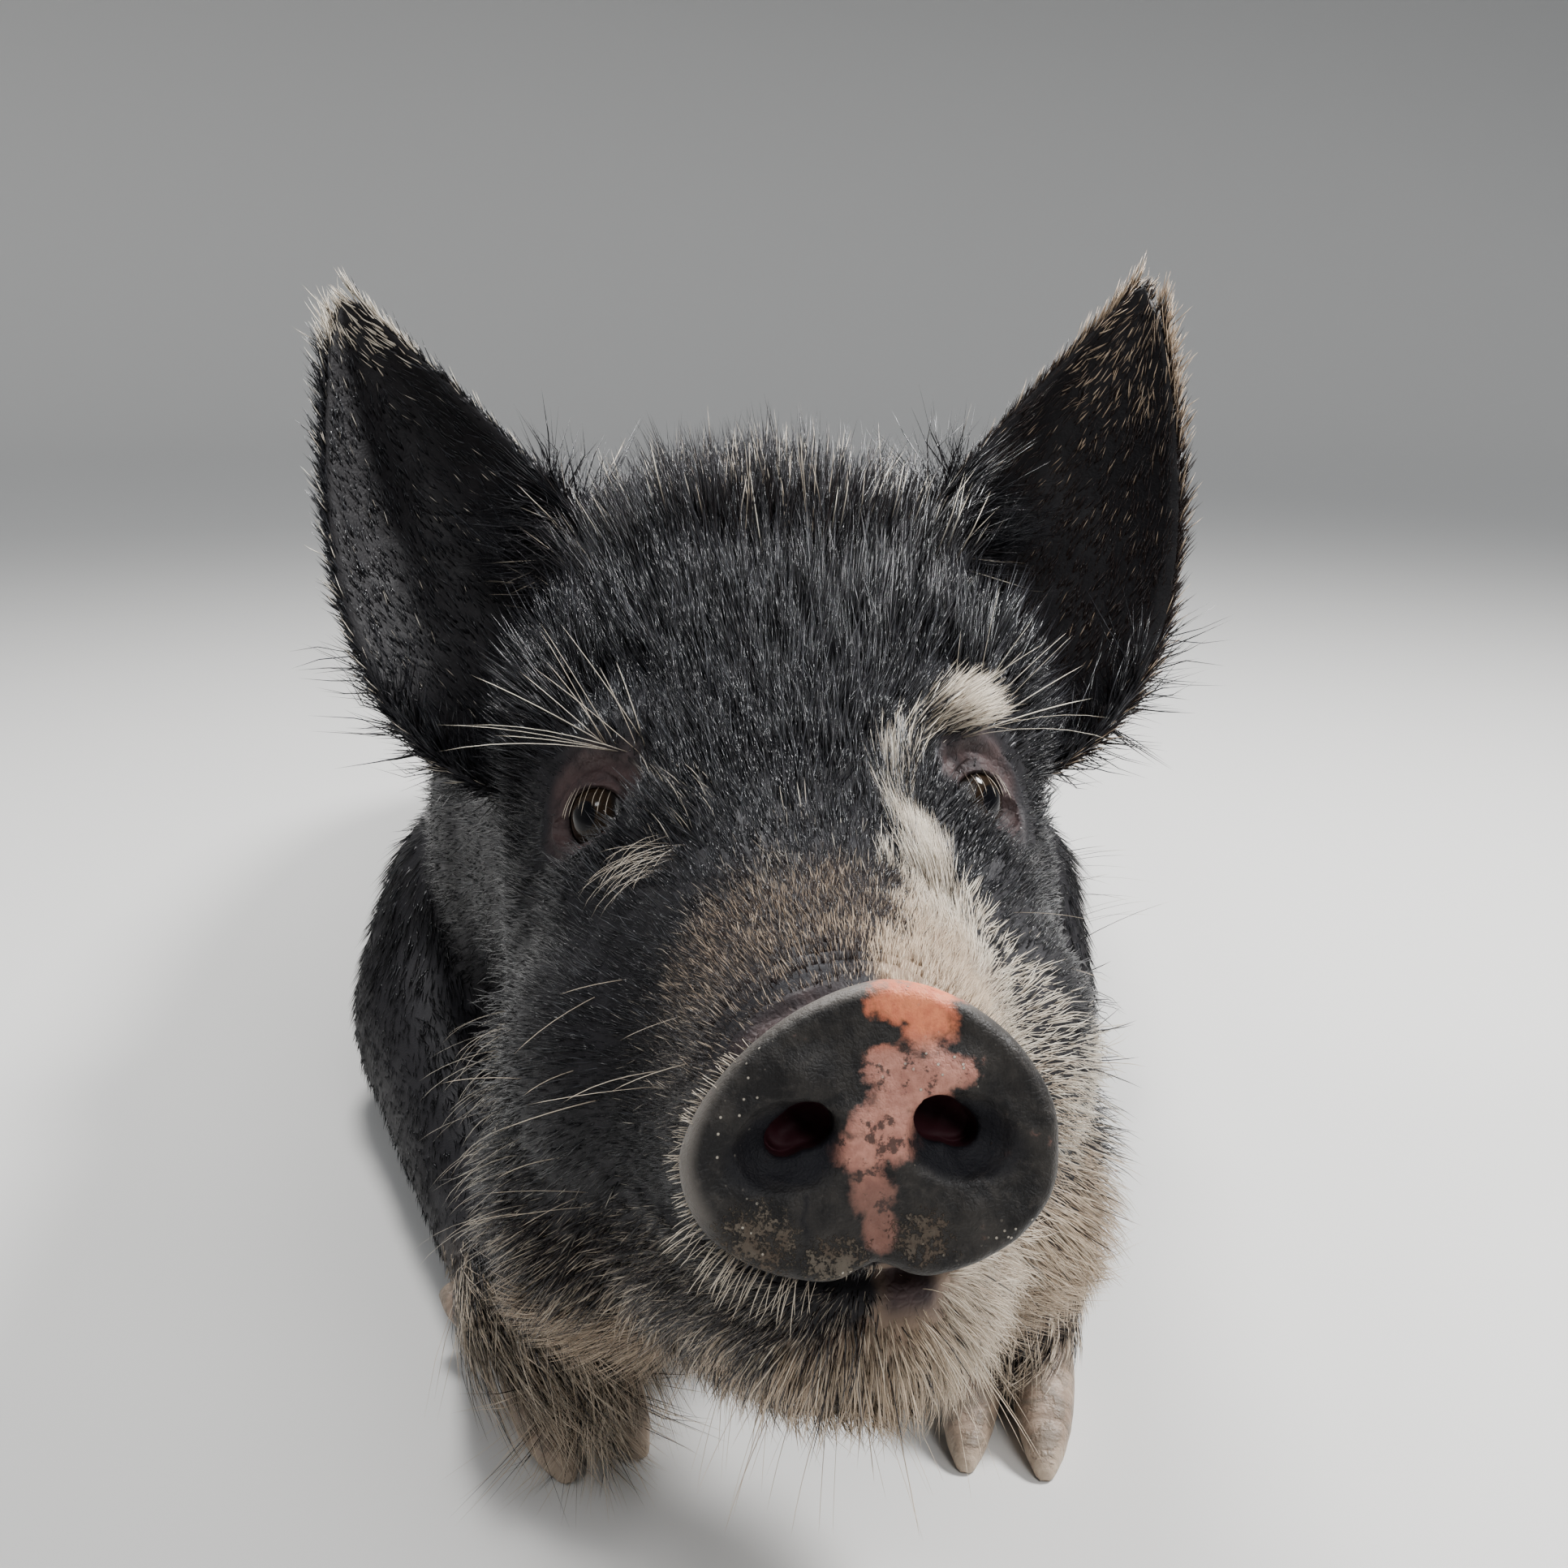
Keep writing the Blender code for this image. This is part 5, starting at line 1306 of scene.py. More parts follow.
class PIG_OT_disc(bpy.types.Operator):
    """Model the bare snout disc with its rolled rim and nostrils"""

    bl_idname = "object.make_pig_disc"
    bl_label = "Snout disc"

    def execute(self, context):
        sizes = context.scene.pig_sizes
        profile = (
            (0.84, 0.0168), (0.94, 0.0135), (0.985, 0.0100), (1.00, 0.0070), (1.00, 0.0050), (0.985, 0.0026),
            (0.955, 0.0009), (0.915, 0.0001), (0.86, 0.0006), (0.78, 0.0009), (0.60, 0.0002), (0.38, -0.0007),
            (0.18, -0.0010),
        )
        rings = []
        for scale, back in profile:
            outline = disc_outline(sizes, scale, 96)
            rings.append([HEAD_PLACE @ Vector((x, DISC_FRONT + back, DISC_MIDDLE + z)) for x, z in outline])
        disc = draw_rings("disc", rings)
        for side in (1.0, -1.0):
            for out, up, radii, turned in (
                (0.0136, 0.0058, (0.0058, 0.0125, 0.0052), 20.0),
                (0.0172, 0.0040, (0.0056, 0.0115, 0.0044), 40.0),
            ):
                at = Matrix.Translation((0.0006 + out * side, DISC_FRONT + 0.0035, DISC_MIDDLE + up))
                turn = Matrix.Rotation(math.radians(turned) * side, 4, "Y")
                combine(disc, add_ball("nostril", radii, HEAD_PLACE @ at @ turn, 32), "DIFFERENCE")
        apply_change(disc, "REMESH", mode="VOXEL", voxel_size=0.00085)
        soften(disc, 5)
        self.shape_front(disc)
        self.keep_patches(disc, sizes)
        disc.data.materials.clear()
        disc.data.materials.append(disc_material(context.scene.pig_colours))
        round_off(disc)
        settle(disc, "snout_skin", "snout_disc")
        return {"FINISHED"}

    def shape_front(self, disc):
        """Wide funnels that open outwards from the nostrils, ridges over them, and small wrinkles."""
        points = read_points(disc.data)
        head = in_head(points)
        x, y, z = head[:, 0], head[:, 1], head[:, 2] - DISC_MIDDLE
        front = fade(y, DISC_FRONT + 0.006, DISC_FRONT + 0.014)
        push = np.zeros(len(points))
        for side in (1.0, -1.0):
            for out, up, wide, high, depth, power in (
                (0.0172, 0.0022, 0.0118, 0.0094, 0.0052, 0.9),
                (0.0235, -0.0005, 0.0088, 0.0070, 0.0022, 1.2),
                (0.0150, 0.0165, 0.0110, 0.0070, -0.0016, 1.5),
                (0.0190, -0.0130, 0.0120, 0.0060, -0.0010, 1.5),
                (0.0040, 0.0030, 0.0055, 0.0090, -0.0009, 1.5),
            ):
                off = ((x - 0.0006 - out * side) / wide) ** 2 + ((z - up) / high) ** 2
                push += depth * np.clip(1 - off, 0, 1) ** power
        push += 0.0012 * np.exp(-((x / 0.0022) ** 2)) * smooth(-z, 0.006, 0.018)
        push += waves(points, 0.012, 41) * 0.00030 + waves(points, 0.005, 42) * 0.00010
        head[:, 1] += push * front
        write_points(disc.data, head @ HEAD_TURN.T + HEAD_SPOT)

    def keep_patches(self, disc, sizes):
        """Where the disc is pink or muddy, and where light and shade are painted on it: a highlight on the
        rim, sunlight on the top, shade in the funnels and a crack, and shade deep in the nostrils' lining; in
        millimetres on its own front.
        """
        head = in_head(read_points(disc.data))
        x, y, z = head[:, 0] * 1000, head[:, 1], (head[:, 2] - DISC_MIDDLE) * 1000
        spots = {
            "pink": (
                (9.5, 30.5, 9.5, 5.0), (13.0, 25.0, 5.5, 6.0), (3.5, 17.0, 5.6, 4.4), (15.5, 15.5, 6.5, 3.8),
                (8.0, 12.5, 8.4, 6.0), (3.5, 4.5, 8.2, 6.0), (-2.5, 0.5, 7.0, 3.6), (-0.5, -7.5, 4.8, 5.5),
                (0.5, -15.0, 3.6, 5.0),
            ),
            "mud": ((-24.5, -17.0, 9.0, 8.0), (-8.0, -21.5, 7.5, 5.5), (9.0, -17.5, 6.5, 6.0)),
        }
        for name, patches in spots.items():
            share = np.zeros(len(x))
            for at_x, at_z, wide, high in patches:
                share = np.maximum(share, 1 - 0.5 * (((x - at_x) / wide) ** 2 + ((z - at_z) / high) ** 2))
            mark(disc.data, name, np.clip(share, 0, 1))
        half, up, down = (value * 1000 for value in (sizes.disc_half_width, sizes.disc_up, sizes.disc_down))
        lean = DISC_LEAN * np.maximum(z, 0)
        reach = np.sqrt(((x - lean) / half) ** 2 + (z / np.where(z > 0, up, down)) ** 2)
        # The rim's painted highlight: along the upper edge, towards the pig's right
        mark(disc.data, "rim", smooth(reach, 0.89, 0.98) * smooth(z - 0.55 * x, -2.0, 20.0))
        # The disc's top, where the pink takes its painted sunlight
        mark(disc.data, "top", smooth(z, 19.0, 25.0))
        mark(disc.data, "low", fade(z, -9.0, 1.0))

        def off_nostril(side, out, up, wide, high):
            return np.sqrt(((x - 0.6 - out * side) / wide) ** 2 + ((z - up) / high) ** 2)

        # Deep in each nostril: its dark maroon is partly the lining's colour and partly painted shade
        deep = smooth(y, DISC_FRONT + 0.0068, DISC_FRONT + 0.0092)
        holes, shade = np.zeros(len(x)), np.zeros(len(x))
        for side in (1.0, -1.0):
            holes = np.maximum(holes, fade(off_nostril(side, 14.8, 5.2, 9.0, 7.6), 0.85, 1.15) * deep)
            shade = np.maximum(shade, fade(off_nostril(side, 17.4, 1.9, 11.8, 9.2), 0.72, 1.02))
            shade = np.maximum(shade, 0.8 * fade(off_nostril(side, 23.5, -0.5, 9.0, 7.0), 0.6, 1.05))
        # A thin dark line on the pig's right, below the middle: painted shade in a crack, with no groove
        # under it
        crack_shade = np.exp(-(((x + 14.4 + 0.5 * np.sin(z * 0.9)) / 0.55) ** 2))
        crack_shade = crack_shade * smooth(-z, 6.0, 8.0) * fade(-z, 15.0, 18.0)
        mark(disc.data, "hollow", holes)
        mark(disc.data, "shade", np.maximum(shade, 0.9 * crack_shade))


class PIG_OT_eyes(bpy.types.Operator):
    """Model both eyeballs, with a clear bulge over a dark iris"""

    bl_idname = "object.make_pig_eyes"
    bl_label = "Eyes"

    def execute(self, context):
        sizes = context.scene.pig_sizes
        finish = eye_material(context.scene.pig_colours)
        for side, name in ((1.0, "eye_left"), (-1.0, "eye_right")):
            place = eye_place(side)
            pole_ahead = Matrix.Rotation(math.radians(90), 4, "X")
            ball = add_ball(name + "_ball", (sizes.eye,) * 3, place @ pole_ahead, 64)
            keep_order(ball)
            into = np.array(place.inverted())
            points = read_points(ball.data)
            local = points @ into[:3, :3].T + into[:3, 3]
            off = np.hypot(local[:, 0], local[:, 2]) / sizes.eye
            ahead = local[:, 1] < 0
            bulge = 1 + 0.03 * np.clip(1 - (off / 0.62) ** 2, 0, 1) * ahead
            local *= bulge[:, None]
            back = np.array(place)
            write_points(ball.data, local @ back[:3, :3].T + back[:3, 3])
            mark(ball.data, "ring", np.where(ahead, off, 1.0))
            ball.data.materials.append(finish)
            round_off(ball)
            settle(ball, "eye", name)
        return {"FINISHED"}


def claw_rings(sizes, side, sides=24):
    rings = []
    rows = (
        (-0.55, 0.62, 0.78), (-0.25, 0.86, 1.02), (0.10, 1.00, 1.00), (0.45, 0.92, 0.74),
        (0.75, 0.66, 0.46), (0.94, 0.34, 0.25), (1.00, 0.14, 0.12),
    )
    for t, wide, high in smooth_stations(rows, 4):
        half = sizes.claw_width / 2 * wide
        top = sizes.claw_height * high
        ring = []
        for k in range(sides):
            turn = 2 * math.pi * (k + 0.5) / sides
            x = half * signed_power(math.cos(turn), 0.8)
            z = top * (0.5 + 0.5 * signed_power(math.sin(turn), 0.8))
            inward = -0.10 * side * sizes.claw_width * t * t
            ridge = 1 + 0.012 * math.sin(t * 34)
            ring.append((x * ridge + inward, -sizes.claw_length * t, max(z * ridge - 0.0015, 0.0006)))
        rings.append(ring)
    return rings


def dewclaw_rings(sides=16):
    rings = []
    for t, size in smooth_stations(((-0.5, 0.8), (0.0, 1.0), (0.6, 0.7), (1.0, 0.2)), 3):
        radius = 0.0065 * size
        turns = [2 * math.pi * k / sides for k in range(sides)]
        rings.append([(radius * math.cos(turn), -0.020 * t, radius * math.sin(turn)) for turn in turns])
    return rings


class PIG_OT_claws(bpy.types.Operator):
    """Model the two claws and two dewclaws of each foot"""

    bl_idname = "object.make_pig_claws"
    bl_label = "Claws"

    def execute(self, context):
        sizes = context.scene.pig_sizes
        made = []
        for route in FEET:
            ankle, before = Vector(route[-1][0]), Vector(route[-2][0])
            along = ankle - before
            heading = math.atan2(along.x, -along.y)
            base = ankle + Vector((math.sin(heading), -math.cos(heading), 0.0)) * 0.006
            for side in (1.0, -1.0):
                claw = draw_rings("claw", claw_rings(sizes, side))
                turn = Matrix.Rotation(heading + math.radians(5.0) * side, 4, "Z")
                apart = Matrix.Translation((0.0128 * side, 0.0, 0.0))
                claw.data.transform(Matrix.Translation((base.x, base.y, 0.0)) @ turn @ apart)
                made.append(claw)
                small = draw_rings("dewclaw", dewclaw_rings())
                turn = Matrix.Rotation(heading - math.radians(12.0) * side, 4, "Z")
                at = Matrix.Translation(before) @ turn @ Matrix.Translation((0.022 * side, 0.020, -0.010))
                small.data.transform(at @ Matrix.Rotation(math.radians(20.0), 4, "X"))
                made.append(small)
        claws = joined(made, "claws")
        keep_order(claws)
        points = read_points(claws.data)
        mark(claws.data, "tip", smooth(-points[:, 2], -0.014, -0.002))
        claws.data.materials.clear()
        claws.data.materials.append(claw_material(context.scene.pig_colours))
        round_off(claws)
        settle(claws, "claw_horn", *[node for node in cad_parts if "claw" in node])
        return {"FINISHED"}


def face_zone(points):
    """Where the short coat of the face grows: all of the head but the ears."""
    return fade(in_head(points)[:, 1], 0.085, 0.105) * (1 - ear_share(points))


def seen_share(normals):
    """Fuller coat on the front of the head, where it is finest."""
    front = normals @ HEAD_TURN @ np.array((0.0, -0.85, 0.53))
    return 0.50 + 0.50 * smooth(front, -0.25, 0.25)


def face_length(points):
    head = in_head(points)
    _, y, z = head.T
    eye, _ = off_eye(head)
    high = smooth(y, -0.085, -0.02) * smooth(z, -0.03, 0.015)
    jaw = smooth(-z, 0.105, 0.140)
    bridge = smooth(y, -0.135, -0.090) * smooth(z, -0.045, -0.015)
    length = 0.0090 + 0.0040 * bridge + 0.0100 * high + 0.0100 * smooth(z, 0.025, 0.065) + 0.0070 * jaw
    length = np.minimum(length, np.maximum(0.85 * (eye - 0.0185), 0.0025))
    return length * (0.45 + 0.55 * smooth(y, -0.158, -0.135))


def face_lift(points):
    _, y, z = in_head(points).T
    poll = smooth(z, 0.070, 0.100) * smooth(y, 0.02, 0.05)
    brow = smooth(z, 0.0, 0.03) * fade(z, 0.05, 0.08)
    chin = smooth(-z, 0.118, 0.135) * fade(y, -0.06, 0.0)
    return 0.30 + 0.35 * poll + 0.40 * chin + 0.12 * smooth(-y, 0.09, 0.15) + 0.12 * brow


class PIG_OT_face_coat(bpy.types.Operator):
    """Grow the short coat of the muzzle, the forehead and the cheeks"""

    bl_idname = "object.grow_face_coat"
    bl_label = "Face coat"

    def execute(self, context):
        width = context.scene.pig_sizes.face_hair
        ground = Ground(bpy.data.objects["skin"])
        grown = face_zone(ground.middles) * covered(ground.middles) * seen_share(ground.faces_out)
        _, y, z = in_head(ground.middles).T
        snout = fade(y, -0.078, -0.070)
        upper = smooth(z + 0.25 * y, -0.034, -0.026)
        zones = {"muzzle": snout, "forehead": (1 - snout) * upper, "cheeks": (1 - snout) * (1 - upper)}
        for zone, kind, dense, seed, size, long, steps, lift, pull in (
            ("muzzle", "long", 500000, 101, 0.62, 1.15, 2, 1.0, 0.35),
            ("muzzle", "short", 1250000, 102, 0.60, 0.80, 1, 0.8, 0.2),
            ("forehead", "long", 290000, 103, 0.90, 1.25, 2, 1.25, 0.70),
            ("forehead", "short", 540000, 104, 0.95, 0.80, 1, 0.7, 0.3),
            ("cheeks", "long", 230000, 105, 0.80, 1.30, 2, 1.0, 0.45),
            ("cheeks", "short", 360000, 106, 0.90, 0.80, 1, 0.7, 0.2),
        ):
            share = dense * grown * zones[zone]
            grow_coat(
                f"coat_{zone}_{kind}", ground, share, lambda p: long * face_length(p), width * size,
                lambda p: lift * face_lift(p), seed, steps=steps, pull=pull,
            )
        return {"FINISHED"}


class PIG_OT_body_coat(bpy.types.Operator):
    """Grow the tufts of the neck, back, flanks and legs"""

    bl_idname = "object.grow_body_coat"
    bl_label = "Body coat"

    def execute(self, context):
        width = context.scene.pig_sizes.body_hair
        ground = Ground(bpy.data.objects["skin"])
        spots = ground.middles
        behind = smooth(in_head(spots)[:, 1], 0.085, 0.105) * (1 - ear_share(spots))
        under = fade(-ground.faces_out[:, 2], 0.80, 0.95)
        grown = behind * under * (spots[:, 1] < 0.552)

        def length(points):
            return 0.013 + 0.013 * smooth(points[:, 2], 0.03, 0.12)

        def lift(points):
            return 0.24 + 0.10 * smooth(points[:, 2], 0.2, 0.32)

        for name, low, high, side, seed in (
            ("coat_front_left", -1.0, 0.10, 1.0, 201),
            ("coat_front_right", -1.0, 0.10, -1.0, 202),
            ("coat_back_left", 0.10, 1.0, 1.0, 203),
            ("coat_back_right", 0.10, 1.0, -1.0, 204),
        ):
            inside = (spots[:, 1] >= low) & (spots[:, 1] < high) & (spots[:, 0] * side >= 0)
            grow_coat(name, ground, 60000 * grown * inside, length, width, lift, seed, steps=1, pull=0.4)
        grow_coat(
            "coat_body_short", ground, 22000 * grown, lambda p: 0.85 * length(p), width * 0.9,
            lambda p: 0.7 * lift(p), 205, steps=1, clump=0,
        )
        return {"FINISHED"}


class PIG_OT_crest(bpy.types.Operator):
    """Grow the long bristles of the poll and along the back"""

    bl_idname = "object.grow_crest"
    bl_label = "Crest"

    def execute(self, context):
        width = context.scene.pig_sizes.face_hair
        ground = Ground(bpy.data.objects["skin"])
        spots = ground.middles
        x, y, z = in_head(spots).T
        poll = smooth(z, 0.062, 0.092) * smooth(y, 0.022, 0.044) * fade(y, 0.092, 0.104)
        poll = poll * fade(np.abs(x), 0.058, 0.072)
        middle = np.interp(spots[:, 1], [cut.y for cut in TRUNK], [cut.x for cut in TRUNK])
        back = fade(np.abs(spots[:, 0] - middle), 0.020, 0.050) * smooth(ground.faces_out[:, 2], 0.4, 0.8)
        back = back * smooth(y, 0.095, 0.110) * fade(spots[:, 1], 0.25, 0.42)

        def poll_marks(points):
            x = in_head(points)[:, 0]
            return 0.12 * np.exp(-((x / 0.020) ** 2)), 0.14 + 0 * x, 0.2 + 0 * x

        grow_coat(
            "bristles_poll", ground, 380000 * poll, same(0.040), width * 1.05, same(1.0), 301,
            steps=3, bend=0.30, ruffle=0.28, pull=0.5, marks_of=poll_marks,
        )
        grow_coat(
            "bristles_back", ground, 76000 * back, lambda p: 0.046 - 0.016 * smooth(p[:, 1], -0.1, 0.3),
            width * 2.4, lambda p: 0.60 - 0.25 * smooth(p[:, 1], 0.0, 0.35), 302,
            steps=3, bend=0.55, ruffle=0.14, pull=0.4,
        )
        return {"FINISHED"}


class PIG_OT_long_hair(bpy.types.Operator):
    """Grow the long pale bristles of the jaw, jowls, feet and tail, and of the blaze"""

    bl_idname = "object.grow_long_hair"
    bl_label = "Long pale hair"

    def execute(self, context):
        width = context.scene.pig_sizes.face_hair
        ground = Ground(bpy.data.objects["skin"])
        spots = ground.middles
        x, y, z = in_head(spots).T
        jaw = smooth(-z, 0.112, 0.132) * fade(y, -0.01, 0.03) * covered(spots)
        jowl = smooth(np.abs(x), 0.055, 0.075) * smooth(-z, 0.045, 0.080)
        jowl = jowl * smooth(y, -0.045, -0.015) * fade(y, 0.05, 0.08)
        blaze = fade(off_line(in_head(spots), BLAZE[1:]), 0.006, 0.013) * (1 - 0.6 * bare_share(spots))
        feet = smooth(foot_share(spots), 0.2, 0.8) * (1 + 1.2 * right_forefoot(spots))
        tail = smooth(spots[:, 1], 0.548, 0.555) * (1 + 1.5 * fade(spots[:, 2], 0.12, 0.15))

        def foot_length(points):
            return 0.014 + (0.012 + 0.044 * right_forefoot(points)) * smooth(foot_share(points), 0.4, 0.9)

        def foot_marks(points):
            near = foot_end(points)
            return 0.50 * near, 0.85 * near, 0.6 * near

        def blaze_marks(points):
            share = fade(off_line(in_head(points), BLAZE), 0.007, 0.014)
            return 0.84 * share, 0.9 * share, 0.25 + 0 * share

        def tail_length(points):
            return 0.014 + 0.032 * fade(points[:, 2], 0.115, 0.16)

        for name, density, length, thick, lift, seed, others in (
            ("bristles_jaw", 235000 * jaw, same(0.022), 0.64, 0.75, 401, {"ruffle": 0.26, "pull": 0.45}),
            ("bristles_jowl", 130000 * jowl, same(0.026), 0.7, 0.5, 402,
             {"bend": 0.4, "ruffle": 0.18, "pull": 0.45}),
            ("hair_blaze", 3400000 * blaze, same(0.022), 0.5, 0.34, 405,
             {"pull": 0.6, "clump": 7, "marks_of": blaze_marks}),
            ("hair_feet", 150000 * feet, foot_length, 1.05, 0.24, 403,
             {"bend": 1.1, "ruffle": 0.15, "pull": 0.55, "marks_of": foot_marks}),
            ("hair_tail", 220000 * tail, tail_length, 1.4, 0.30, 404, {"lie": tail_lie, "slot": "tail_coat"}),
        ):
            others = {"steps": 3, "bend": 0.6, **others}
            grow_coat(name, ground, density, length, width * thick, same(lift), seed, **others)
        return {"FINISHED"}


def foot_share(points):
    """How far a place is on a pastern, where the hair is long."""
    best = np.zeros(len(points))
    for route in FEET:
        line = [route[-2][0], route[-1][0]]
        best = np.maximum(best, fade(off_line(points, line), 0.030, 0.045))
    return best * smooth(points[:, 2], 0.012, 0.030)


def right_forefoot(points):
    """The shaggy right forefoot, whose hair hangs over its claws."""
    return smooth(-points[:, 1], 0.20, 0.24) * (points[:, 0] < 0)


def tail_lie(points, normals):
    """Down along the tail."""
    rows = smooth_stations([(*point, radius) for point, radius in TAIL], 2)
    total = np.zeros_like(points)
    for one, two in zip(rows, rows[1:]):
        _, off = beside(points, one[:3], two[:3])
        total += unit(two[:3] - one[:3]) * fade(off / one[3], 1.0, 2.2)[:, None]
    total += np.array((0.0, 0.0, -0.001))
    return unit(total - normals * (total * normals).sum(axis=1, keepdims=True))


def ear_lie(points, normals):
    """Out along the ear, from its root to its tip and a little to its outer rim."""
    head = in_head(points)
    side = np.sign(head[:, 0])
    way = np.stack([side * 0.62, 0 * side - 0.05, 0 * side + 0.72], axis=1)
    way = turned_out(way)
    return unit(way - normals * (way * normals).sum(axis=1, keepdims=True))


def ear_marks(points):
    """Pale hair at the tip of the right ear, rusty hair near that of the left."""
    x, _, z = in_head(points).T
    right = smooth(z, 0.158, 0.178) * (x < 0)
    left = smooth(z, 0.110, 0.160) * (x > 0) * smooth(x, 0.105, 0.125)
    return 0.85 * right + 0.35 * left, 0.25 * right + 0.75 * left + 0.06, np.where(x > 0, 1.0, 0.0)


class PIG_OT_ear_hair(bpy.types.Operator):
    """Grow the short hair of the ears and the fringe along their rims"""

    bl_idname = "object.grow_ear_hair"
    bl_label = "Ear hair"

    def execute(self, context):
        width = context.scene.pig_sizes.face_hair
        ground = Ground(bpy.data.objects["skin"])
        share = ear_share(ground.middles)
        grow_coat(
            "coat_ears", ground, 215000 * share, same(0.009), width * 1.1, same(0.22), 501,
            lie=ear_lie, marks_of=ear_marks, slot="ear_skin",
        )
        self.fringe(context)
        return {"FINISHED"}

    def fringe(self, context):
        """Longer hair that stands out past each ear's outer rim and tip."""
        draw = np.random.default_rng(502)
        roots, ways, faces = [], [], []
        for side in (1.0, -1.0):
            for t in draw.uniform(0.03, 0.94, 1100):
                edge = 0.985 if draw.random() < 0.72 else 0.015
                inside = 0.90 if edge > 0.5 else 0.10
                root, inner = (np.array(ear_point(side, t, s)) for s in (edge, inside))
                ahead = np.array(ear_point(side, min(t + 0.02, 1.0), edge)) - root
                roots.append(root)
                way = unit(root - inner) * 0.6 + unit(ahead) * (0.9 if edge > 0.5 else 1.3)
                ways.append(unit(way + draw.normal(size=3) * 0.16))
                faces.append(unit(np.cross(root - inner, ahead)))
        roots, ways, faces = (np.array(rows) for rows in (roots, ways, faces))
        count = len(roots)
        reach = 0.0115 * draw.uniform(0.5, 1.25, count)
        mids = roots + ways * (reach * 0.5)[:, None]
        tips = mids + unit(ways + np.array((0.0, 0.0, 0.25))) * (reach * 0.5)[:, None]
        white, tipped, warm = ear_marks(roots)
        is_white, is_tipped = draw.random(count) < white, draw.random(count) < tipped + 0.1
        marks = {
            "pale": np.where(is_white, 0.9, np.where(is_tipped, 0.5, 0.0)),
            "warm": warm,
            "tone": draw.random(count),
        }
        uv = nearest_uv(bpy.data.objects["skin"], roots)
        hair_mesh("fringe_ears", roots, faces, uv, mids, tips, np.full(count, 0.0006), marks, 3, "ear_skin")


def nearest_uv(skin, points):
    """The place on the skin's unwrap of the skin's corner nearest to each point."""
    mesh = skin.data
    spots = read_points(mesh) - OFFSET
    keep = np.nonzero(in_head(spots)[:, 1] < 0.2)[0]
    tree = KDTree(len(keep))
    for k in keep:
        tree.insert(spots[k], int(k))
    tree.balance()
    corner = np.zeros(len(mesh.vertices), int)
    index = np.empty(len(mesh.loops), np.int32)
    mesh.loops.foreach_get("vertex_index", index)
    corner[index] = np.arange(len(index))
    flat = read_unwrap(mesh)
    return np.array([flat[corner[tree.find(point)[1]]] for point in points])


# Each row: how many, the sides, the two corners that the places lie between and the two that the ways do,
# in the head's frame, the shortest and longest reach, the width, the droop, and how pale and warm
SINGLE_HAIRS = (
    (9, (1, -1), (0.040, -0.024, 0.014), (0.062, -0.010, 0.019), (0.1, -0.3, 0.5), (1.2, 0.0, 1.3),
     (0.028, 0.052), 0.00038, (0.1, 0.15, -0.1), 0.90, 0.25),
    (4, (1, -1), (0.046, -0.022, 0.014), (0.058, -0.014, 0.017), (0.9, -0.2, 0.1), (1.4, 0.1, 0.5),
     (0.036, 0.056), 0.00036, (0.1, 0.2, -0.5), 0.80, 0.1),
    (14, (1, -1), (0.034, -0.140, -0.120), (0.080, -0.020, -0.050), (0.7, -0.3, -0.4), (1.2, 0.5, 0.2),
     (0.018, 0.036), 0.00034, (0.0, 0.1, -0.4), 0.85, 0.5),
    (110, (-1,), (0.036, -0.038, 0.004), (0.057, -0.014, 0.019), (-1.2, -1.3, -1.0), (-0.5, -0.8, -0.2),
     (0.018, 0.032), 0.00020, (0.0, 0.0, -1.4), 0.50, 0.1),
    (34, (-1,), (0.038, -0.052, -0.018), (0.052, -0.040, -0.007), (0.8, -0.4, -0.3), (1.2, -0.1, 0.2),
     (0.016, 0.030), 0.00024, (-0.3, 0.2, -1.5), 0.85, 0.3),
    (6, (1, -1), (0.000, 0.020, 0.080), (0.018, 0.056, 0.104), (-0.2, -0.5, 0.7), (0.2, -0.1, 1.1),
     (0.024, 0.040), 0.00034, (0.0, 0.3, 0.3), 0.85, 0.45),
    (20, (1, -1), (0.000, -0.140, -0.150), (0.040, -0.060, -0.140), (0.0, -0.9, -1.1), (0.9, 0.1, -0.9),
     (0.024, 0.040), 0.00034, (0.0, -0.1, -0.6), 0.85, 0.7),
    (16, (1,), (0.070, -0.040, -0.050), (0.084, 0.000, -0.020), (0.8, -0.4, 0.1), (1.2, 0.0, 0.6),
     (0.022, 0.040), 0.00030, (0.2, 0.0, -0.5), 0.35, 0.2),
    (40, (-1,), (0.076, -0.030, -0.130), (0.096, 0.020, -0.060), (0.8, -0.5, -0.5), (1.2, 0.0, 0.1),
     (0.020, 0.034), 0.00030, (-0.2, 0.0, -0.9), 0.80, 0.15),
)


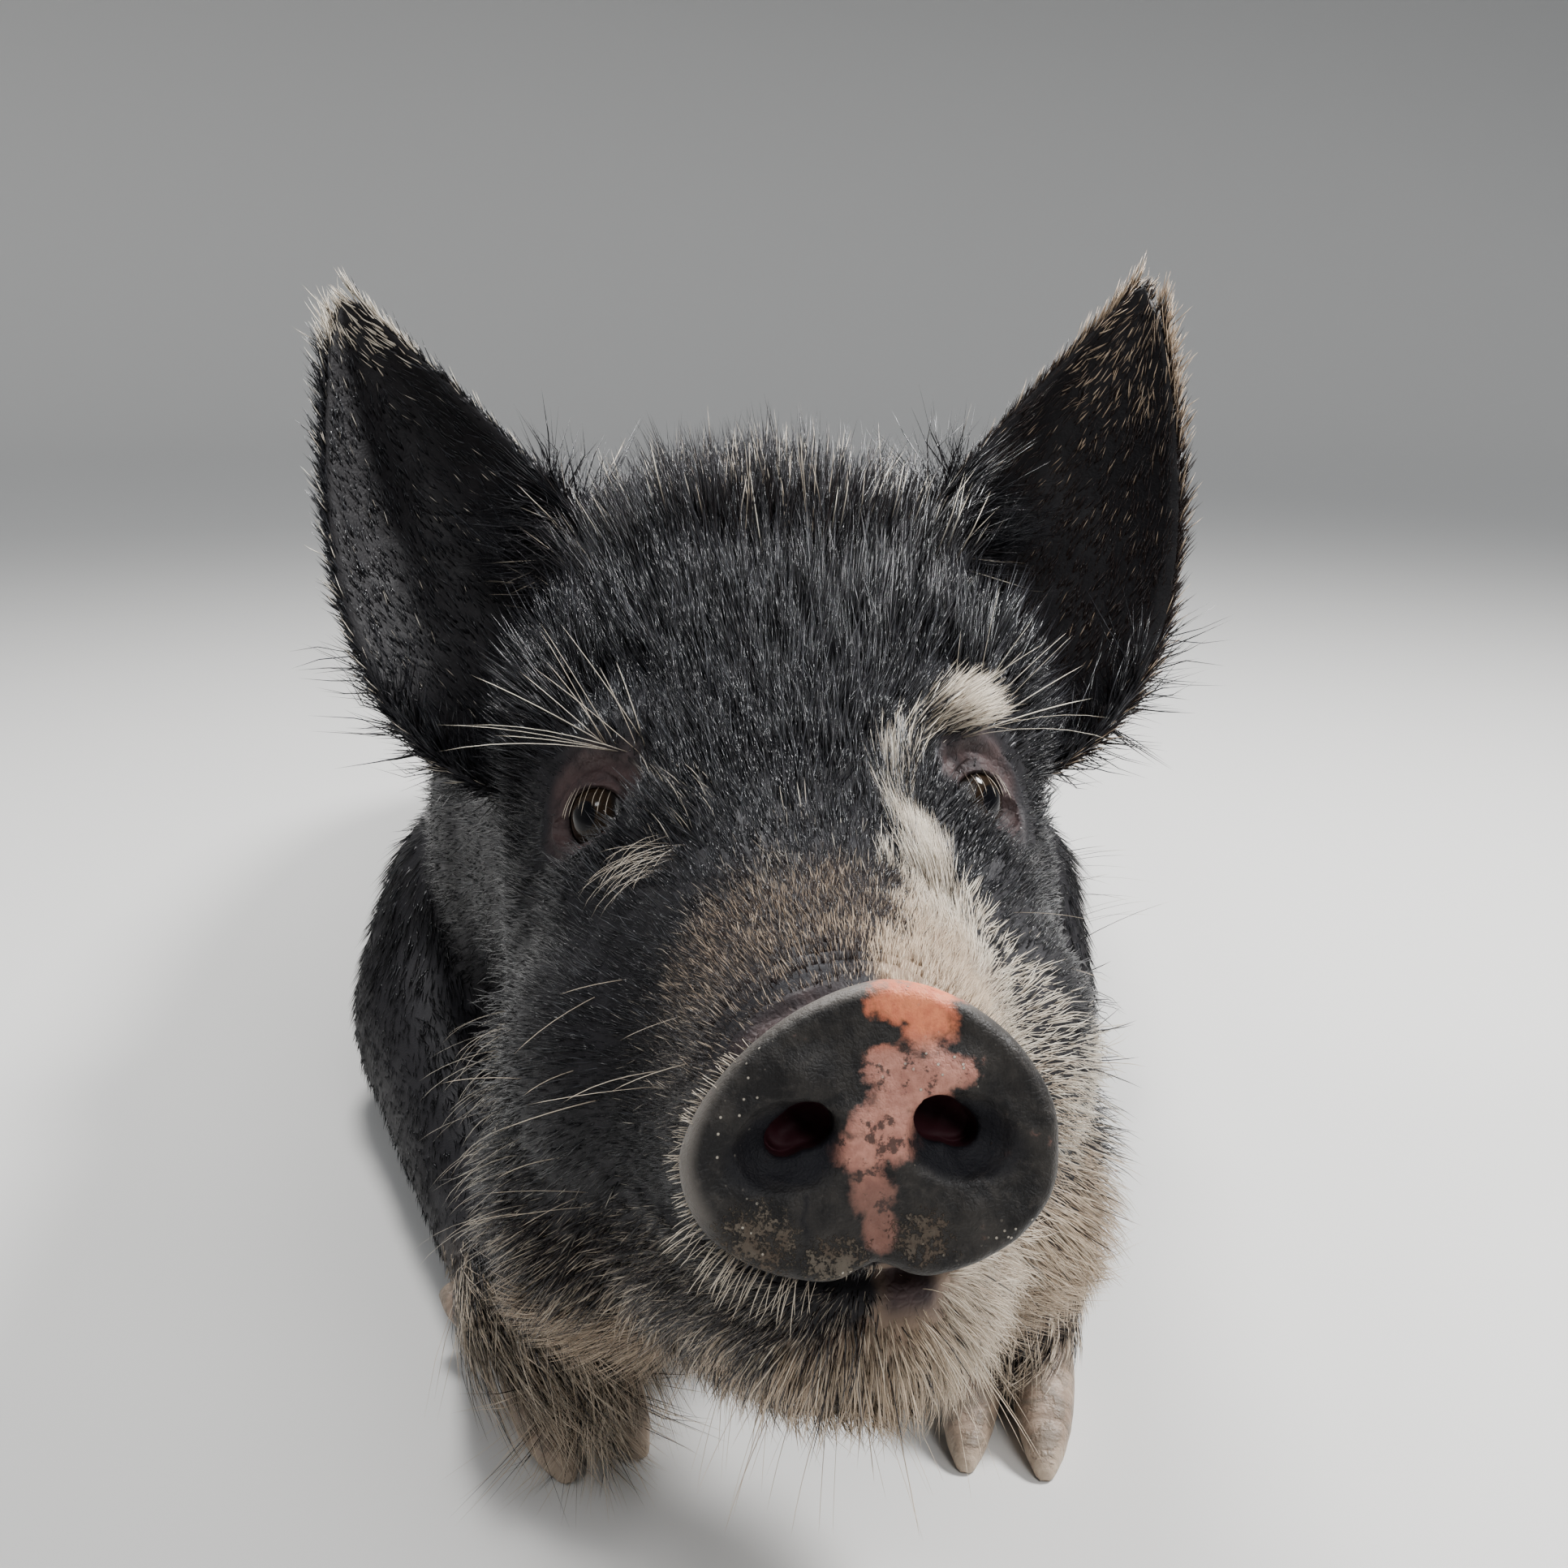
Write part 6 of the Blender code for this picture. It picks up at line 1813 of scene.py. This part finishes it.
class PIG_OT_whiskers(bpy.types.Operator):
    """Set the long single hairs of the brows, cheeks and chin, the lashes and the disc's stubble"""

    bl_idname = "object.set_whiskers"
    bl_label = "Whiskers, lashes and stubble"

    def execute(self, context):
        draw = np.random.default_rng(601)
        rows = []
        for count, sides, low, high, way_low, way_high, reach, width, droop, pale, warm in SINGLE_HAIRS:
            for side in sides:
                mirror = np.array((side, 1.0, 1.0))
                for _ in range(count):
                    at, way = draw.uniform(low, high) * mirror, draw.uniform(way_low, way_high) * mirror
                    bend = np.array(droop) * mirror * draw.uniform(0.3, 1.5)
                    size = draw.uniform(*reach), width * draw.uniform(0.6, 1.2)
                    rows.append((at, way, *size, bend, pale, warm))
        for side in (1.0, -1.0):
            rows += [self.lash(side, turn, draw) for turn in np.radians(np.linspace(-40, 40, 8))]
        self.plant("whiskers", bpy.data.objects["skin"], rows, draw)
        self.plant("stubble", bpy.data.objects["disc"], self.stubble(context, draw), draw)
        return {"FINISHED"}

    def lash(self, side, turn, draw):
        """A pale hair that hangs from the edge of an upper lid over the eye."""
        sizes = bpy.context.scene.pig_sizes
        place = HEAD_PLACE.inverted() @ eye_place(side)
        spot = Vector((
            (0.0012 + sizes.lid_half_width * math.sin(turn) * 0.8) * side, -sizes.eye * 1.16,
            sizes.lid_half_height * math.cos(turn) * 1.05,
        ))
        ahead = place.to_3x3() @ Vector((0.30 * math.sin(turn) * side, -0.55, -0.75))
        droop = place.to_3x3() @ Vector((draw.normal() * 0.2, 0.25, -1.4))
        return (place @ spot, ahead, draw.uniform(0.0070, 0.0115), 0.00028, droop, 0.75, 0.35)

    def stubble(self, context, draw):
        """Short pale hairs round the disc's rim, longer and golden on the pig's left."""
        sizes = context.scene.pig_sizes
        outline = disc_outline(sizes, 1.0, 360)
        rows = []
        for _ in range(460):
            x, z = outline[draw.integers(360)]
            in_coat, on_mouth = z > 0.020 and abs(x) < 0.024, z < -0.016 and x > -0.012
            if in_coat or on_mouth:
                continue
            out = Vector((x, 0.0, z)).normalized()
            golden = x > 0.012 and z < 0.016
            low = x < -0.010 and z < -0.012
            reach = draw.uniform(*((0.006, 0.014) if golden else (0.006, 0.013) if low else (0.0018, 0.0042)))
            spot = Vector((x, DISC_FRONT + draw.uniform(0.003, 0.012), DISC_MIDDLE + z))
            way = out + Vector((draw.normal() * 0.25, draw.uniform(-0.6, 0.1), draw.normal() * 0.25))
            droop = (0.1, -0.1, -0.6 if golden or low else 0.0)
            rows.append((spot, way, reach, 0.00024, droop, 0.90, 0.75 if golden else 0.35))
        return rows

    def plant(self, name, surface, rows, draw):
        """Roots each hair where it is nearest to a surface."""
        count = len(rows)
        roots, normals = np.empty((count, 3)), np.empty((count, 3))
        for k, row in enumerate(rows):
            _, near, normal, _ = surface.closest_point_on_mesh(HEAD_PLACE @ Vector(row[0]) + SHIFT)
            roots[k], normals[k] = near - SHIFT, normal
        ways = unit(turned_out(np.array([tuple(row[1]) for row in rows])))
        reach = np.array([row[2] for row in rows])
        width = np.array([row[3] for row in rows])
        droops = turned_out(np.array([tuple(row[4]) for row in rows]))
        mids = roots + ways * (reach * 0.55)[:, None]
        tips = mids + unit(ways + droops) * (reach * 0.45)[:, None]
        marks = {
            "pale": np.array([row[5] for row in rows]),
            "warm": np.array([row[6] for row in rows]),
            "tone": draw.random(count) * 0.6,
        }
        uv = nearest_uv(bpy.data.objects["skin"], roots)
        hair_mesh(name, roots, normals, uv, mids, tips, width, marks, 6, "black_coat")


# The image's width and the camera's focal length, in pixels
IMAGE_PIXELS = 1932
FOCAL_PIXELS = 1933


class PIG_OT_stage(bpy.types.Operator):
    """Lay the pale floor that rises into a backdrop, and set the soft studio lights and the camera"""

    bl_idname = "object.set_pig_stage"
    bl_label = "Stage"

    def execute(self, context):
        self.lay_floor(context)
        tilt = (math.radians(24), math.radians(22), 0)
        bpy.ops.object.light_add(type="SUN", location=(1.0, -1.0, 3.0), rotation=tilt)
        bpy.context.object.data.energy = 1.1
        bpy.context.object.data.angle = math.radians(35)
        world = bpy.data.worlds.new("studio")
        world.use_nodes = True
        colour, strength = world.node_tree.nodes["Background"].inputs[:2]
        colour.default_value = (0.74, 0.85, 1.0, 1.0)
        strength.default_value = 0.20
        context.scene.world = world
        for name, place, aim, size, power in (
            ("key", (1.20, 0.10, 1.60), (0.05, -0.38, 0.25), 0.40, 76),
            ("over", (-0.35, 0.75, 1.75), (0.0, -0.30, 0.30), 0.50, 40),
            ("front", (0.9, -2.0, 1.6), (0.03, -0.4, 0.2), 0.6, 14),
            ("fill", (-1.5, -1.3, 2.2), (0.0, -0.35, 0.2), 0.5, 18),
        ):
            bpy.ops.object.light_add(type="AREA", location=place)
            light = bpy.context.object
            light.name = name
            light.data.shape = "DISK"
            light.data.size = size
            light.data.energy = power
            light.rotation_euler = (Vector(aim) - Vector(place)).to_track_quat("-Z", "Y").to_euler()
        spot = Vector((0.03, -0.85, 0.40)) + SHIFT
        bpy.ops.object.camera_add(location=spot, rotation=(math.radians(74.5), 0, 0))
        camera = bpy.context.object
        camera.data.lens = 36.0 * FOCAL_PIXELS / IMAGE_PIXELS
        camera.data.sensor_width = 36.0
        camera.data.clip_start = 0.01
        context.scene.camera = camera
        return {"FINISHED"}

    def lay_floor(self, context):
        """A round floor whose rim is drawn up in a wide curve."""
        bpy.ops.object.select_all(action="DESELECT")
        flat, curve, curve_top, wall_top = 6.0, 4.0, 3.0, 6.0
        radius, level = flat + curve, wall_top
        middle = (0, 0, level)
        bpy.ops.mesh.primitive_circle_add(vertices=96, radius=radius, fill_type="NOTHING", location=middle)
        floor = start_piece("floor")
        with editing(floor, "EDGE"):
            for turn in np.radians(np.arange(0.0, 90.1, 7.5)):
                wide, high = flat + curve * math.cos(turn), curve_top * (1 - math.sin(turn))
                bpy.ops.mesh.extrude_region_move(TRANSFORM_OT_translate={"value": (0.0, 0.0, high - level)})
                bpy.ops.transform.resize(value=(wide / radius, wide / radius, 1.0))
                radius, level = wide, high
            bpy.ops.mesh.edge_face_add()
            bpy.ops.mesh.select_all(action="SELECT")
            bpy.ops.mesh.normals_make_consistent(inside=True)
        bpy.ops.object.shade_smooth()
        floor.data.materials.append(floor_material(context.scene.pig_colours))


class PIG_PT_panel(bpy.types.Panel):
    """Lists the steps in order"""

    bl_label = "Lying pig"
    bl_idname = "PIG_PT_panel"
    bl_space_type = "VIEW_3D"
    bl_region_type = "UI"
    bl_category = "Pig"

    def draw(self, context):
        for step in STEPS:
            self.layout.operator(step.bl_idname)
        for group in (context.scene.pig_sizes, context.scene.pig_colours):
            box = self.layout.box()
            for name in group.bl_rna.properties.keys():
                if name not in ("rna_type", "name"):
                    box.prop(group, name)


STEPS = (
    PIG_OT_skin,
    PIG_OT_disc,
    PIG_OT_eyes,
    PIG_OT_claws,
    PIG_OT_face_coat,
    PIG_OT_body_coat,
    PIG_OT_crest,
    PIG_OT_long_hair,
    PIG_OT_ear_hair,
    PIG_OT_whiskers,
    PIG_OT_stage,
)
CLASSES = (PigSizes, PigColours, *STEPS, PIG_PT_panel)


def register():
    for kind in CLASSES:
        bpy.utils.register_class(kind)
    bpy.types.Scene.pig_sizes = bpy.props.PointerProperty(type=PigSizes)
    bpy.types.Scene.pig_colours = bpy.props.PointerProperty(type=PigColours)


def unregister():
    del bpy.types.Scene.pig_sizes
    del bpy.types.Scene.pig_colours
    for kind in reversed(CLASSES):
        bpy.utils.unregister_class(kind)


def main():
    register()
    bristle_material(bpy.context.scene.pig_colours)
    for step in STEPS:
        group, name = step.bl_idname.split(".")
        getattr(getattr(bpy.ops, group), name)()


if __name__ == "__main__":
    main()
